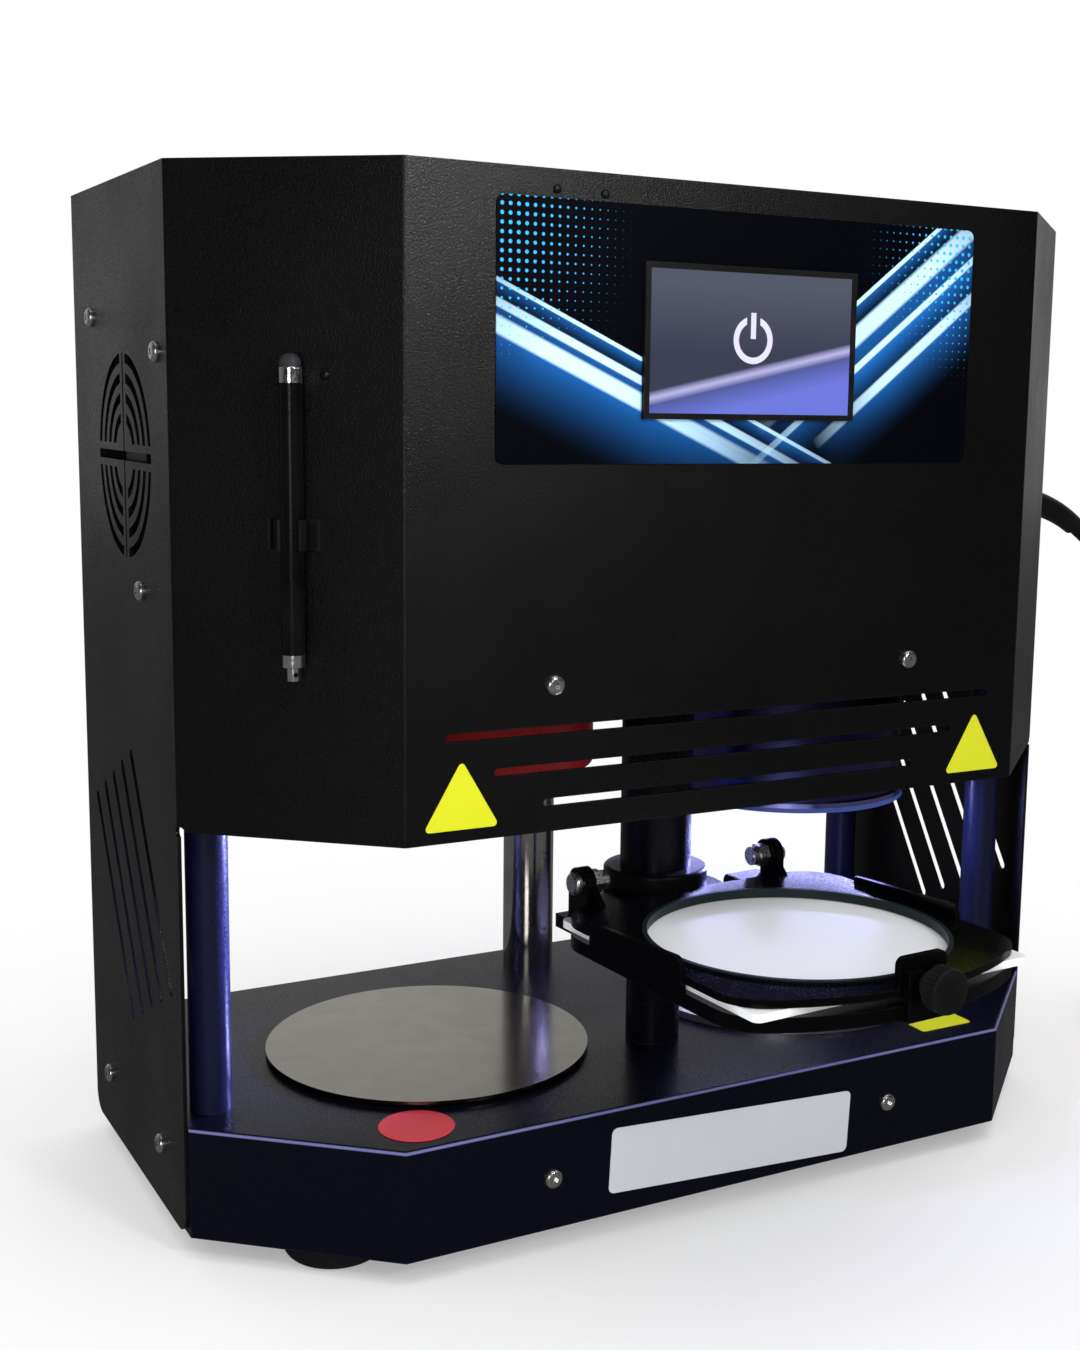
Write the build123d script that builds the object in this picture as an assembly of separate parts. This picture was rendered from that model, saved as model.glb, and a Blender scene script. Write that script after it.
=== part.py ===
from build123d import *
import math
import os

# A bench-top dental thermoforming machine. The head holds the heater, the moulding head and the
# drives; the base holds the two stations; between them a swinging frame carries the plastic sheet.
# X runs to the right, Y to the back and Z up. The origin is on the table, in the middle of the
# footprint that the housing and the carrier in front of it take together.

os.makedirs("parts", exist_ok=True)

# Housing
front_width = 280.0
chamfer_width = 65.0
chamfer_depth = 58.0
side_depth = 140.0
sheet_metal = 1.5
bend_radius = 1.6
bend_relief = 2.0
side_corner_radius = 9.0
foot_height = 9.0
foot_radius = 20.0
foot_rounding = 5.4
front_foot_inset = 40.0
front_foot_side = 52.5
rear_foot_side = 45.0
rear_foot_inset = 35.0
base_height = 43.0
work_gap = 113.5
head_height = 237.0
chassis_rise = 46.5
chassis_thickness = 2.0
flange_height = 16.0
flange_setback = 6.0
lid_depth = 14.0
post_radius = 8.0
post_inset = 13.5
front_post_back = 73.5
rear_post_back = 184.0
duct_radius = 12.0
duct_wall = 1.5
duct_back = 176.0
duct_offset = -3.0

# Screws
screw_radius = 2.0
screw_length = 8.0
screw_head_radius = 3.8
screw_head_height = 2.2
screw_clearance = 0.2
socket_radius = 1.4
socket_floor = 0.9
head_rounding = 1.65
front_screw_x = 81.5
front_screw_rise = 54.5
base_screw_x = 80.0
base_screw_rise = 20.5
rear_screw_inset = 12.0

# Slots, grille and louvres
slot_height = 3.0
slot_rises = (38.0, 24.0, 11.0)
slot_half_lengths = (125.0, 105.5, 85.5)
louvre_count = 5
louvre_length = 100.0
louvre_width = 4.4
louvre_angle = 58.0
louvre_back = 155.0
louvre_rise = 104.5
louvre_step_back = -14.5
louvre_step_rise = 7.1
grille_radius = 38.8
grille_rings = 4
grille_pitch = 7.4
grille_slot = 3.7
grille_rib_y = 4.0
grille_rib_z = 4.6
cross_slot_height = 3.6
cross_slot_width = 1.6
grille_margin = 2.0
fan_back = 120.5
fan_rise = 290.0
fan_size = 80.0
fan_depth = 25.0
fan_hub_radius = 15.0
fan_tip_clearance = 1.0
fan_wall = 1.5
fan_corner = 4.0
fan_strut = 3.0
fan_blade_width = 17.0
fan_blade_thickness = 1.4
fan_blade_twist = 38.0
fan_side_play = 0.5
fan_blades = 7
rear_vent_count = 6
rear_vent_length = 90.0
rear_vent_pitch = 12.0

# Control panel
overlay_width = 212.0
overlay_height = 92.5
overlay_thickness = 0.5
overlay_corner = 3.0
overlay_rise = 337.3
screen_width = 94.6
screen_height = 56.4
screen_rise = 335.6
bezel_width = 2.2
bezel_proud = 2.0
bezel_depth = 8.0
glass_recess = 0.6
board_width = 150.0
board_height = 78.0
board_thickness = 1.6
board_gap = 14.0
standoff_radius = 3.0
standoff_side = 6.0
standoff_edge = 5.0

# Stations
column_back = 62.0
station_back = 96.0
reflector_radius = 67.5
reflector_spacer = 55.0
reflector_thickness = 1.5
reflector_lift = 1.2
table_radius = 70.0
table_thickness = 3.0
table_hole_radius = 1.25
table_hole_pitch = 14.0
table_hole_rings = 4
suction_hole_radius = 10.0
seal_width = 4.0
seal_height = 1.0
seal_inset = 5.0
heater_radius = 68.0
heater_rise = 168.0
heater_plate_recess = 11.0
heater_plate_thickness = 6.0
wire_turns = 6
wire_pitch = 9.0
wire_groove_width = 4.0
wire_groove_depth = 2.5
wire_margin = 6.0
head_play = 3.0
head_wall = 4.0
head_rim_step = 2.0
head_seal_rise = 137.5
head_seal_height = 2.0
head_rim_height = 2.0
lamp_width = 8.0
lamp_height = 3.0
lamp_recess = 3.0

# Carrier
carrier_rise = 109.0
sheet_gap = 5.7
rest_turn = 3.3
guide_radius = 11.5
sleeve_radius = 15.0
running = 0.05
sleeve_hole_play = 0.5
collar_radius = 22.0
collar_height = 17.5
collar_edge = 1.5
collar_drop = 7.0
frame_plate = 3.0
lower_plate = 5.5
ring_margin = 6.5
ring_wall = 1.8
ring_height = 3.6
frame_border = 13.0
frame_bulge = 120.0
frame_corner = 20.0
frame_overhang = 1.5
neck_overlap = 6.0
sheet_size = 127.0
sheet_thickness = 3.0
sheet_back = 5.0
sheet_corner = 3.0
body_gap = 0.3
side_play = 1.0
guide_plate = 2.0
guide_front = 115.0
guide_rear = 54.0
guide_corner = 5.0
guide_height_front = 12.0
guide_height_rear = 9.0
hinge_gap = 1.7
hinge_rise = 13.0
hinge_half_span = 50.0
lug_plate = 2.5
lug_radius = 6.5
lug_foot = 5.0
lug_heel = 1.5
hinge_bolt_radius = 2.5
hinge_head_radius = 4.7
hinge_head_height = 3.0
hinge_nut_radius = 5.0
hinge_nut_height = 4.5
nut_collar_radius = 4.0
nut_collar_length = 3.0
hinge_bolt_tip = 0.5
stop_near = 26.0
stop_far = 44.0
stop_depth = 12.0
stop_height = 5.5
stop_corner = 2.0
neck_half_width = 56.0
collar_boss = 9.0
tab_width = 22.0
tab_corner = 3.0
tab_height = 11.0
tab_plate = 2.5
tab_gap = 0.6
latch_width = 18.0
latch_height = 13.0
stud_radius = 2.5
stud_rise = 7.5
stud_bite = 1.5
knob_radius = 8.2
knob_length = 6.6
knob_boss_radius = 5.0
knob_boss_length = 4.2
knob_grooves = 30
knob_groove_radius = 0.4
knob_edge = 1.0
guide_notch_play = 1.0

# Lift and swing drives
lift_down = 55.0
lift_up = 20.0
carriage_thickness = 8.0
bearing_radius = 21.0
bearing_width = 7.0
carriage_wall = 3.0
rod_lug_width = 12.0
gear_hub_wall = 4.0
gear_hub_height = 2.0
gear_module = 1.5
gear_teeth = 48
pinion_teeth = 16
gear_width = 8.0
gear_backlash = 0.25
pressure_angle = 20.0
motor_size = 42.3
motor_height = 38.0
motor_boss_radius = 11.0
motor_boss_height = 2.0
motor_shaft_radius = 2.5
motor_corner = 4.0
motor_screw_depth = 14.0
lift_screw_tip = 12.0
screw_offset = 50.0
lift_screw_radius = 4.0
lift_screw_play = 0.1
nut_flange_radius = 11.0
nut_flange_height = 3.5
nut_body_radius = 5.1
nut_tail = 2.0
guide_rod_radius = 4.0
guide_rod_offset = 46.0
shelf_thickness = 3.0
bridge_half_width = 76.5
bridge_depth = 84.0
bridge_foot = 12.0

# Other pieces inside
vacuum_motor_height = 70.0
vacuum_motor_back = 120.0
vacuum_bridge_gap = 3.5
vacuum_inlet_gap = 10.0
vacuum_motor_edge = 6.0
vacuum_cap_share = 0.6
vacuum_cap_height = 12.0
supply_size = (85.0, 75.0, 40.0)
supply_side_gap = 35.0
terminal_inset = 8.0
terminal_depth = 10.0
terminal_rises = (4.0, 16.0)
supply_back = 147.0

# Mains inlet, its switch and the lead
inlet_back = 128.0
inlet_rise = 267.0
inlet_flange_y = 31.0
inlet_flange_z = 60.0
inlet_flange_thickness = 2.0
inlet_flange_corner = 2.0
inlet_body_y = 27.0
inlet_body_z = 50.0
inlet_body_depth = 25.0
inlet_offset_z = 14.0
socket_y = 24.0
socket_z = 16.0
socket_depth = 15.0
socket_play = 0.25
rocker_rise = 24.0
rocker_y = 19.0
rocker_z = 13.0
rocker_depth = 9.0
rocker_swing_room = 2.3
rocker_recess = 14.0
rocker_pivot = 7.0
rocker_root = 2.0
rocker_dish = 2.6
rocker_rest = 1.2
connector_y = 28.0
connector_z = 20.0
connector_length = 40.0
connector_corner = 4.0
connector_edge = 3.0
nose_play = 1.0
relief_rings = 4
relief_start_radius = 7.0
relief_end_radius = 5.2
relief_reach = 46.0
relief_drop = 14.0
lead_lead_out = 30.0
lead_radius = 3.75
coil_x = 340.0
coil_back = 62.0
coil_turns_in = 2.5
coil_turns_out = 2.0
coil_mean_radius = 45.0
coil_gap = 0.6
coil_tail = 36.0
coil_approach = 24.0
lead_points = (
    (343.0, 133.0, 221.0),
    (362.0, 138.0, 188.0),
    (374.0, 142.0, 149.0),
    (381.0, 144.0, 108.0),
    (387.0, 143.0, 70.0),
    (393.0, 138.0, 38.0),
    (397.5, 131.0, 13.0),
    (396.5, 113.0, lead_radius),
)
plug_length = 36.0
plug_width = 34.0
plug_neck_length = 18.0
plug_corner = 8.0
plug_edge = 2.0
plug_neck_start = 0.5
plug_neck_end = 3.5
pin_spread = 9.5
pin_radius = 2.0
pin_length = 19.0

# Stylus on the left slanted corner
stylus_along = 39.0
stylus_radius = 4.0
stylus_bottom = 224.6
stylus_length = 93.4
ferrule_height = 5.5
tip_height = 4.6
end_cap_height = 4.6
ferrule_edge = 0.5
tip_step = 0.3
eyelet_hole = 0.9
eyelet_radius = 2.4
clip_rise = 266.2
clip_height = 10.5
clip_width = 19.2
clip_plate = 1.2
clip_wall = 1.1
clip_gap = 0.2
clip_wing = 2.8
clip_wing_wall = 1.0
clip_opening = 100.0

# Levels and places that follow from the sizes above
half_width = front_width / 2 + chamfer_width
arm_length = collar_radius + sheet_gap + sheet_size / 2 + sheet_back
station_x = math.sqrt(arm_length ** 2 - (station_back - column_back) ** 2)
frame_half = sheet_size / 2 + side_play + guide_plate
frame_rear = frame_overhang - collar_radius - sheet_gap
hinge_back = -frame_rear - hinge_gap - lug_radius
ring_opening = sheet_size / 2 - ring_margin
head_radius = ring_opening - head_play
depth = chamfer_depth + side_depth
frame_front = -(arm_length + ring_opening + frame_border)
knob_near = frame_front - tab_gap - tab_plate - body_gap
knob_far = knob_near - knob_boss_length - knob_length
turn = math.radians(rest_turn)
front_reach = -knob_far * math.cos(turn) + knob_radius * math.sin(turn) - column_back
front_y = (front_reach - depth - screw_head_height) / 2
rear_y = front_y + depth
side_front_y = front_y + chamfer_depth
column_y = front_y + column_back
base_bottom = foot_height
base_top = base_bottom + base_height
head_bottom = base_top + work_gap
head_top = head_bottom + head_height
chassis_bottom = head_bottom + chassis_rise
chassis_top = chassis_bottom + chassis_thickness
plate_half = half_width - sheet_metal
station_y = front_y + station_back
sheet_bottom = base_bottom + carrier_rise
sheet_top = sheet_bottom + sheet_thickness
upper_bottom = sheet_top + body_gap
upper_top = upper_bottom + frame_plate
lower_bottom = sheet_bottom - lower_plate
hinge_z = sheet_bottom + hinge_rise
stud_z = sheet_bottom + stud_rise
collar_bottom = sheet_bottom - collar_drop
collar_top = collar_bottom + collar_height
carriage_bottom = chassis_top + lift_down + sheet_metal + body_gap * 3
carriage_top = carriage_bottom + carriage_thickness
gear_bottom = carriage_top + 1.0
gear_top = gear_bottom + gear_width
shelf_bottom = gear_top + 2.0
shelf_top = shelf_bottom + shelf_thickness
swing_motor_top = shelf_top + motor_height
bridge_bottom = swing_motor_top + lift_up + 2.0
bridge_top = bridge_bottom + sheet_metal * 2
gear_radius = gear_module * gear_teeth / 2
pinion_radius = gear_module * pinion_teeth / 2
pinion_x = -(gear_radius + pinion_radius)
chamfer_length = math.hypot(chamfer_width, chamfer_depth)
chamfer_cos = chamfer_width / chamfer_length
chamfer_sin = chamfer_depth / chamfer_length
inlet_z = base_bottom + inlet_rise
vacuum_left = bridge_half_width + vacuum_bridge_gap
vacuum_right = half_width - inlet_body_depth - vacuum_inlet_gap
vacuum_motor_x = (vacuum_left + vacuum_right) / 2
vacuum_motor_radius = (vacuum_right - vacuum_left) / 2
inlet_y = front_y + inlet_back
rod_y_place = column_y + guide_rod_offset
supply_left = supply_side_gap - half_width


def block(x, y, z):
    """A box given by its low and high limits along each axis."""
    limits = (x, y, z)
    middle = [(low + high) / 2 for low, high in limits]
    return Pos(*middle) * Box(*[high - low for low, high in limits])


def rod(radius, z, x=0.0, y=0.0):
    """An upright cylinder between two heights."""
    return Pos(x, y, (z[0] + z[1]) / 2) * Cylinder(radius, z[1] - z[0])


def rod_x(radius, x, y, z):
    """A cylinder along X."""
    return Pos((x[0] + x[1]) / 2, y, z) * Rot(0, 90, 0) * Cylinder(radius, x[1] - x[0])


def rod_y(radius, y, x, z):
    """A cylinder along Y."""
    return Pos(x, (y[0] + y[1]) / 2, z) * Rot(90, 0, 0) * Cylinder(radius, y[1] - y[0])


def pipe(outer, inner, z, x=0.0, y=0.0):
    """An upright tube."""
    return rod(outer, z, x, y) - rod(inner, (z[0] - 1, z[1] + 1), x, y)


def group(solids):
    """Separate solids that share one node."""
    found = [s for part in solids for s in part.solids()]
    return found[0] if len(found) == 1 else Compound(children=found)


def save(name, shape):
    export_step(shape, f"parts/{name}.step")


def plan(inset, half, rear):
    """Floor plan of the housing: a flat front, two slanted corners and straight sides."""
    corner = front_width / 2 - inset * (1 - chamfer_cos) / chamfer_sin
    front = front_y + inset
    side = front + (half - corner) * chamfer_depth / chamfer_width
    right = [(corner, front), (half, side), (half, rear)]
    left = [(-x, y) for x, y in reversed(right)]
    return Polygon(*left, *right, align=None)


def slab(face, z):
    """A floor plan raised between two heights."""
    return Pos(0, 0, z[0]) * extrude(face, z[1] - z[0])


def front_cut(sketch, z, x=0.0):
    """A sketch in X and Z cut through the front face."""
    face = Plane(origin=(x, front_y, z), x_dir=(1, 0, 0), z_dir=(0, -1, 0))
    return extrude(face * sketch, 4 * sheet_metal, both=True)


def side_cut(sketch, side, y, z):
    """A sketch in Y and Z cut through one side plate."""
    face = Plane(origin=(side * half_width, y, z), x_dir=(0, 1, 0), z_dir=(1, 0, 0))
    return extrude(face * sketch, 3 * sheet_metal, both=True)


def side_screw_places():
    """Back and rise of the screws on each side plate, from the front and from the plate's foot."""
    upper = ((168.0, 343.4), (71.5, 328.4), (100.0, 240.2))
    lower = ((171.0, 25.0), (90.0, 25.0))
    return [(front_y + back, base_bottom + rise) for back, rise in upper + lower]


def rear_screw_places():
    """Places of the rear screws, one row into the chassis flange and one into the rim of the lid."""
    edge = plate_half - rear_screw_inset
    rises = (chassis_bottom + flange_height / 2, head_top - lid_depth / 2)
    return [(share * edge, rise) for share in (-1, -0.4, 0.4, 1) for rise in rises]


def drill_rear(shape):
    """The holes for the rear screws through whatever they pass."""
    for x, z in rear_screw_places():
        shape -= rod_y(screw_radius + screw_clearance, (rear_y - screw_length - 2, rear_y + 1), x, z)
    return shape


def grille():
    """The fan grille: rings of slots in four quarters, split by a cross that is itself slotted."""
    rings = Sketch()
    for i in range(grille_rings):
        outer = grille_radius - i * grille_pitch
        rings += Circle(outer) - Circle(outer - grille_slot)
    span = 2 * grille_radius + grille_margin
    rings -= Rectangle(2 * grille_rib_y, span)
    rings -= Rectangle(span, 2 * grille_rib_z)
    rings += Rectangle(2 * grille_radius, cross_slot_height)
    return rings + Rectangle(cross_slot_width, 2 * grille_radius)


def front_casing():
    """One folded sheet: the front of the head, its slanted corners and both full-height side plates."""
    outer = slab(plan(0, half_width, rear_y), (head_bottom, head_top))
    corners = outer.edges().filter_by(Axis.Z).sort_by(Axis.Y)[:4]
    outer = fillet(corners, bend_radius)
    casing = outer - slab(plan(sheet_metal, plate_half, rear_y + 1), (head_bottom - 1, head_top + 1))
    for side in (-1, 1):
        x = sorted((side * half_width, side * plate_half))
        leg = block(x, (side_front_y, rear_y), (base_bottom, head_bottom))
        foot = leg.edges().filter_by(Axis.X).sort_by(Axis.Z)[:2]
        casing += fillet(foot, side_corner_radius)
    for rise, half_length in zip(slot_rises, slot_half_lengths):
        casing -= front_cut(SlotOverall(2 * half_length, slot_height), head_bottom + rise)
    casing -= front_cut(Rectangle(screen_width, screen_height), base_bottom + screen_rise)
    hole = Circle(screw_radius + screw_clearance)
    for side in (-1, 1):
        casing -= front_cut(hole, head_bottom + front_screw_rise, side * front_screw_x)
        for y, z in side_screw_places():
            casing -= side_cut(hole, side, y, z)
        for i in range(louvre_count):
            y = front_y + louvre_back + i * louvre_step_back
            z = base_bottom + louvre_rise + i * louvre_step_rise
            louvre = SlotOverall(louvre_length, louvre_width, rotation=louvre_angle)
            casing -= side_cut(louvre, side, y, z)
        x = (side * half_width - 2 * sheet_metal, side * half_width + 2 * sheet_metal)
        casing -= rod_x(bend_relief, x, side_front_y, head_bottom)
    casing -= side_cut(grille(), -1, front_y + fan_back, base_bottom + fan_rise)
    casing -= side_cut(Rectangle(inlet_body_y, inlet_body_z), 1, inlet_y, inlet_z + inlet_offset_z)
    return casing


def top_cover():
    """A shallow lid set into the top of the casing, its rim turned down."""
    rear = rear_y - sheet_metal
    lid = slab(plan(sheet_metal, plate_half, rear), (head_top - lid_depth, head_top))
    inside = plan(2 * sheet_metal, plate_half - sheet_metal, rear - sheet_metal)
    return drill_rear(lid - slab(inside, (head_top - lid_depth - 1, head_top - sheet_metal)))


def rear_cover():
    """The plate that closes the back of the head, with its vents."""
    cover = block((-plate_half, plate_half), (rear_y - sheet_metal, rear_y), (head_bottom, head_top))
    middle = (head_bottom + head_top) / 2
    for side in (-1, 1):
        for i in range(rear_vent_count):
            z = middle + (i - (rear_vent_count - 1) / 2) * rear_vent_pitch
            place = (side * plate_half / 2, rear_y, z)
            vent = Plane(origin=place, x_dir=(1, 0, 0), z_dir=(0, -1, 0))
            cover -= extrude(vent * SlotOverall(rear_vent_length, slot_height), 2 * sheet_metal, both=True)
    return drill_rear(cover)


def chassis_plate():
    """The floor that everything in the head stands on. Its front flange takes the two front screws."""
    rear = rear_y - sheet_metal
    floor = slab(plan(sheet_metal, plate_half, rear), (chassis_bottom, chassis_top))
    flange = (front_y + sheet_metal, front_y + sheet_metal + chassis_thickness)
    reach = front_width / 2 - flange_setback
    floor += block((-reach, reach), flange, (chassis_bottom, chassis_bottom + flange_height))
    back = (rear - chassis_thickness, rear)
    reach = plate_half - flange_setback
    floor += block((-reach, reach), back, (chassis_bottom, chassis_bottom + flange_height))
    for side in (-1, 1):
        x = sorted((side * plate_half, side * (plate_half - chassis_thickness)))
        y = (side_front_y + flange_setback, rear - flange_setback)
        floor += block(x, y, (chassis_bottom, chassis_bottom + flange_height))
        z = head_bottom + front_screw_rise
        floor -= rod_y(screw_radius + screw_clearance, (front_y, flange[1] + 1), side * front_screw_x, z)
    through = (chassis_bottom - 1, chassis_top + 1)
    floor -= rod(sleeve_radius + sleeve_hole_play, through, 0, column_y)
    floor -= rod(duct_radius - duct_wall, through, duct_offset, front_y + duct_back)
    return drill_rear(floor)


def base_shell():
    """The folded box that the stations and the posts stand on."""
    shell = slab(plan(0, plate_half, rear_y), (base_bottom, base_top))
    corners = shell.edges().filter_by(Axis.Z).sort_by(Axis.Y)[:2]
    shell = fillet(corners, bend_radius)
    top_front = shell.edges().filter_by(Plane.XY).group_by(Axis.Z)[-1].sort_by(Axis.Y)[:5]
    shell = fillet(top_front, bend_radius)
    inside = plan(sheet_metal, plate_half - sheet_metal, rear_y - sheet_metal)
    shell -= slab(inside, (base_bottom - 1, base_top - sheet_metal))
    for side in (-1, 1):
        z = base_bottom + base_screw_rise
        wall = 2 * sheet_metal
        shell -= rod_y(screw_radius + screw_clearance, (front_y - 1, front_y + wall), side * base_screw_x, z)
        for y, z in side_screw_places()[3:]:
            x = sorted((side * (plate_half + 1), side * (plate_half - wall)))
            shell -= rod_x(screw_radius + screw_clearance, x, y, z)
    through = (base_top - 2 * sheet_metal, base_top + 1)
    shell -= rod(duct_radius - duct_wall, through, duct_offset, front_y + duct_back)
    shell -= rod(suction_hole_radius, through, station_x, station_y)
    return shell


def base_bottom_plate():
    inside = plan(sheet_metal, plate_half - sheet_metal, rear_y - sheet_metal)
    return slab(inside, (base_bottom, base_bottom + sheet_metal))


def rubber_feet():
    """Four round feet with a well rounded lower edge."""
    feet = []
    places = ((front_foot_side, front_foot_inset), (rear_foot_side, depth - rear_foot_inset))
    for x_inset, back in places:
        for side in (-1, 1):
            foot = rod(foot_radius, (0, foot_height), side * (half_width - x_inset), front_y + back)
            feet.append(fillet(foot.edges().sort_by(Axis.Z)[:1], foot_rounding))
    return group(feet)


def corner_posts():
    x = half_width - post_inset - sheet_metal
    backs = (front_post_back, rear_post_back)
    z = (base_top, chassis_bottom)
    return group([rod(post_radius, z, side * x, front_y + back) for back in backs for side in (-1, 1)])


def button_screw():
    """A button-head screw, its head on top of the XY plane and its socket open upwards."""
    head = rod(screw_head_radius, (0, screw_head_height))
    head = fillet(head.edges().sort_by(Axis.Z)[-1:], head_rounding)
    head -= Pos(0, 0, socket_floor) * extrude(RegularPolygon(socket_radius, 6), screw_head_height)
    return head + rod(screw_radius, (-screw_length, 0.1))


def case_screws():
    """Every button-head screw of the housing."""
    screws = []
    for side in (-1, 1):
        head_place = Pos(side * front_screw_x, front_y, head_bottom + front_screw_rise)
        base_place = Pos(side * base_screw_x, front_y, base_bottom + base_screw_rise)
        screws += [place * Rot(90, 0, 0) * button_screw() for place in (head_place, base_place)]
        for y, z in side_screw_places():
            screws.append(Pos(side * half_width, y, z) * Rot(0, side * 90, 0) * button_screw())
    for x, z in rear_screw_places():
        screws.append(Pos(x, rear_y, z) * Rot(-90, 0, 0) * button_screw())
    return group(screws)


def heat_reflector():
    """The polished disc under the heater, raised on a smaller spacer."""
    z = base_top + reflector_lift
    disc = rod(reflector_radius, (z, z + reflector_thickness), -station_x, station_y)
    return disc + rod(reflector_spacer, (base_top, z), -station_x, station_y)


def vacuum_table():
    """The perforated table that the model stands on."""
    table = rod(table_radius, (base_top, base_top + table_thickness), station_x, station_y)
    through = (base_top - 1, base_top + table_thickness + 1)
    for ring in range(table_hole_rings):
        count = max(1, 8 * ring)
        for i in range(count):
            angle = 2 * math.pi * i / count
            x = station_x + ring * table_hole_pitch * math.cos(angle)
            y = station_y + ring * table_hole_pitch * math.sin(angle)
            table -= rod(table_hole_radius, through, x, y)
    return table


def table_seal():
    z = base_top + table_thickness
    outer = table_radius - seal_inset
    return pipe(outer, outer - seal_width, (z, z + seal_height), station_x, station_y)


def heater_housing():
    """A red cup, open downwards, that hangs from the chassis over the reflector."""
    z = base_bottom + heater_rise
    cup = rod(heater_radius, (z, chassis_bottom), -station_x, station_y)
    inside = (z - 1, chassis_bottom - sheet_metal)
    return cup - rod(heater_radius - sheet_metal, inside, -station_x, station_y)


def heater_plate():
    """The ceramic plate with a groove for each turn of its heating wire."""
    z = base_bottom + heater_rise + heater_plate_recess
    radius = heater_radius - sheet_metal
    plate = rod(radius, (z, z + heater_plate_thickness), -station_x, station_y)
    for i in range(wire_turns):
        outer = radius - wire_margin - i * wire_pitch
        groove = (z - 1, z + wire_groove_depth)
        plate -= pipe(outer, outer - wire_groove_width, groove, -station_x, station_y)
    return plate


def moulding_head():
    """The bell over the vacuum table, its bright rim, its blue seal and the ring lamp inside it."""
    z = base_bottom + head_seal_rise
    rim = z + head_seal_height
    wall = rim + head_rim_height
    inner = head_radius - head_wall
    bell = rod(head_radius - head_rim_step, (wall, chassis_bottom), station_x, station_y)
    bell -= rod(inner - head_rim_step, (wall - 1, chassis_bottom - head_wall), station_x, station_y)
    lamp_outer = inner - head_rim_step
    lamp = (wall + lamp_recess, wall + lamp_recess + lamp_height)
    save("moulding_head", bell)
    save("head_rim", pipe(head_radius, inner, (rim, wall), station_x, station_y))
    save("head_seal", pipe(head_radius, inner + 1, (z, rim), station_x, station_y))
    save("ring_lamp", pipe(lamp_outer, lamp_outer - lamp_width, lamp, station_x, station_y))


def control_panel():
    """The overlay, the screen in its bezel, and the board behind them on four standoffs."""
    overlay_z = base_bottom + overlay_rise
    screen_z = base_bottom + screen_rise
    upright = Plane(origin=(0, front_y, 0), x_dir=(1, 0, 0), z_dir=(0, -1, 0))
    outline = Pos(0, overlay_z) * RectangleRounded(overlay_width, overlay_height, overlay_corner)
    window = Pos(0, screen_z) * Rectangle(screen_width, screen_height)
    opening_size = (screen_width - 2 * bezel_width, screen_height - 2 * bezel_width)
    opening = Pos(0, screen_z) * Rectangle(*opening_size)
    overlay = extrude(upright * (outline - window), overlay_thickness)
    proud = overlay_thickness + bezel_proud
    bezel = Pos(0, bezel_depth, 0) * extrude(upright * (window - opening), bezel_depth + proud)
    glass = Pos(0, bezel_depth - 1, 0) * extrude(upright * opening, bezel_depth - 1 + proud - glass_recess)
    save("control_overlay", overlay)
    save("screen_bezel", bezel)
    save("screen_glass", glass)
    board_y = front_y + sheet_metal + board_gap
    z = (screen_z - board_height / 2, screen_z + board_height / 2)
    board = block((-board_width / 2, board_width / 2), (board_y, board_y + board_thickness), z)
    for x in (-1, 1):
        for edge in (-1, 1):
            place_x = x * (board_width / 2 - standoff_side)
            place_z = screen_z + edge * (board_height / 2 - standoff_edge)
            y = (front_y + sheet_metal, board_y + board_thickness / 2)
            board += rod_y(standoff_radius, y, place_x, place_z)
    save("control_board", board)


def fan():
    """A square fan behind the grille: a frame with four struts to its hub, and the bladed rotor."""
    y = front_y + fan_back
    z = base_bottom + fan_rise
    outside = -plate_half
    inside = outside + fan_depth
    half = fan_size / 2
    bore = half - fan_wall
    frame = block((outside, inside), (y - half, y + half), (z - half, z + half))
    frame = fillet(frame.edges().filter_by(Axis.X), fan_corner)
    frame -= rod_x(bore, (outside - 1, inside + 1), y, z)
    hub = rod_x(fan_hub_radius, (inside - fan_strut, inside), y, z)
    for angle in (45, 135):
        strut = Rot(angle, 0, 0) * Box(fan_strut, 2 * bore + 1, fan_strut)
        hub += Pos(inside - fan_strut / 2, y, z) * strut
    save("fan_frame", frame + hub)
    rotor_x = (outside + fan_strut, inside - fan_strut - fan_side_play)
    rotor = rod_x(fan_hub_radius, rotor_x, y, z)
    blade_reach = bore - fan_tip_clearance
    length = blade_reach - fan_hub_radius + fan_strut
    blade = Rot(0, 0, fan_blade_twist) * Box(fan_blade_thickness, fan_blade_width, length)
    blade = Pos(0, 0, fan_hub_radius - fan_strut + length / 2) * blade
    for i in range(fan_blades):
        rotor += Pos((rotor_x[0] + rotor_x[1]) / 2, y, z) * Rot(i * 360 / fan_blades, 0, 0) * blade
    rotor &= rod_x(blade_reach, rotor_x, y, z)
    save("fan_rotor", rotor)


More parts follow.
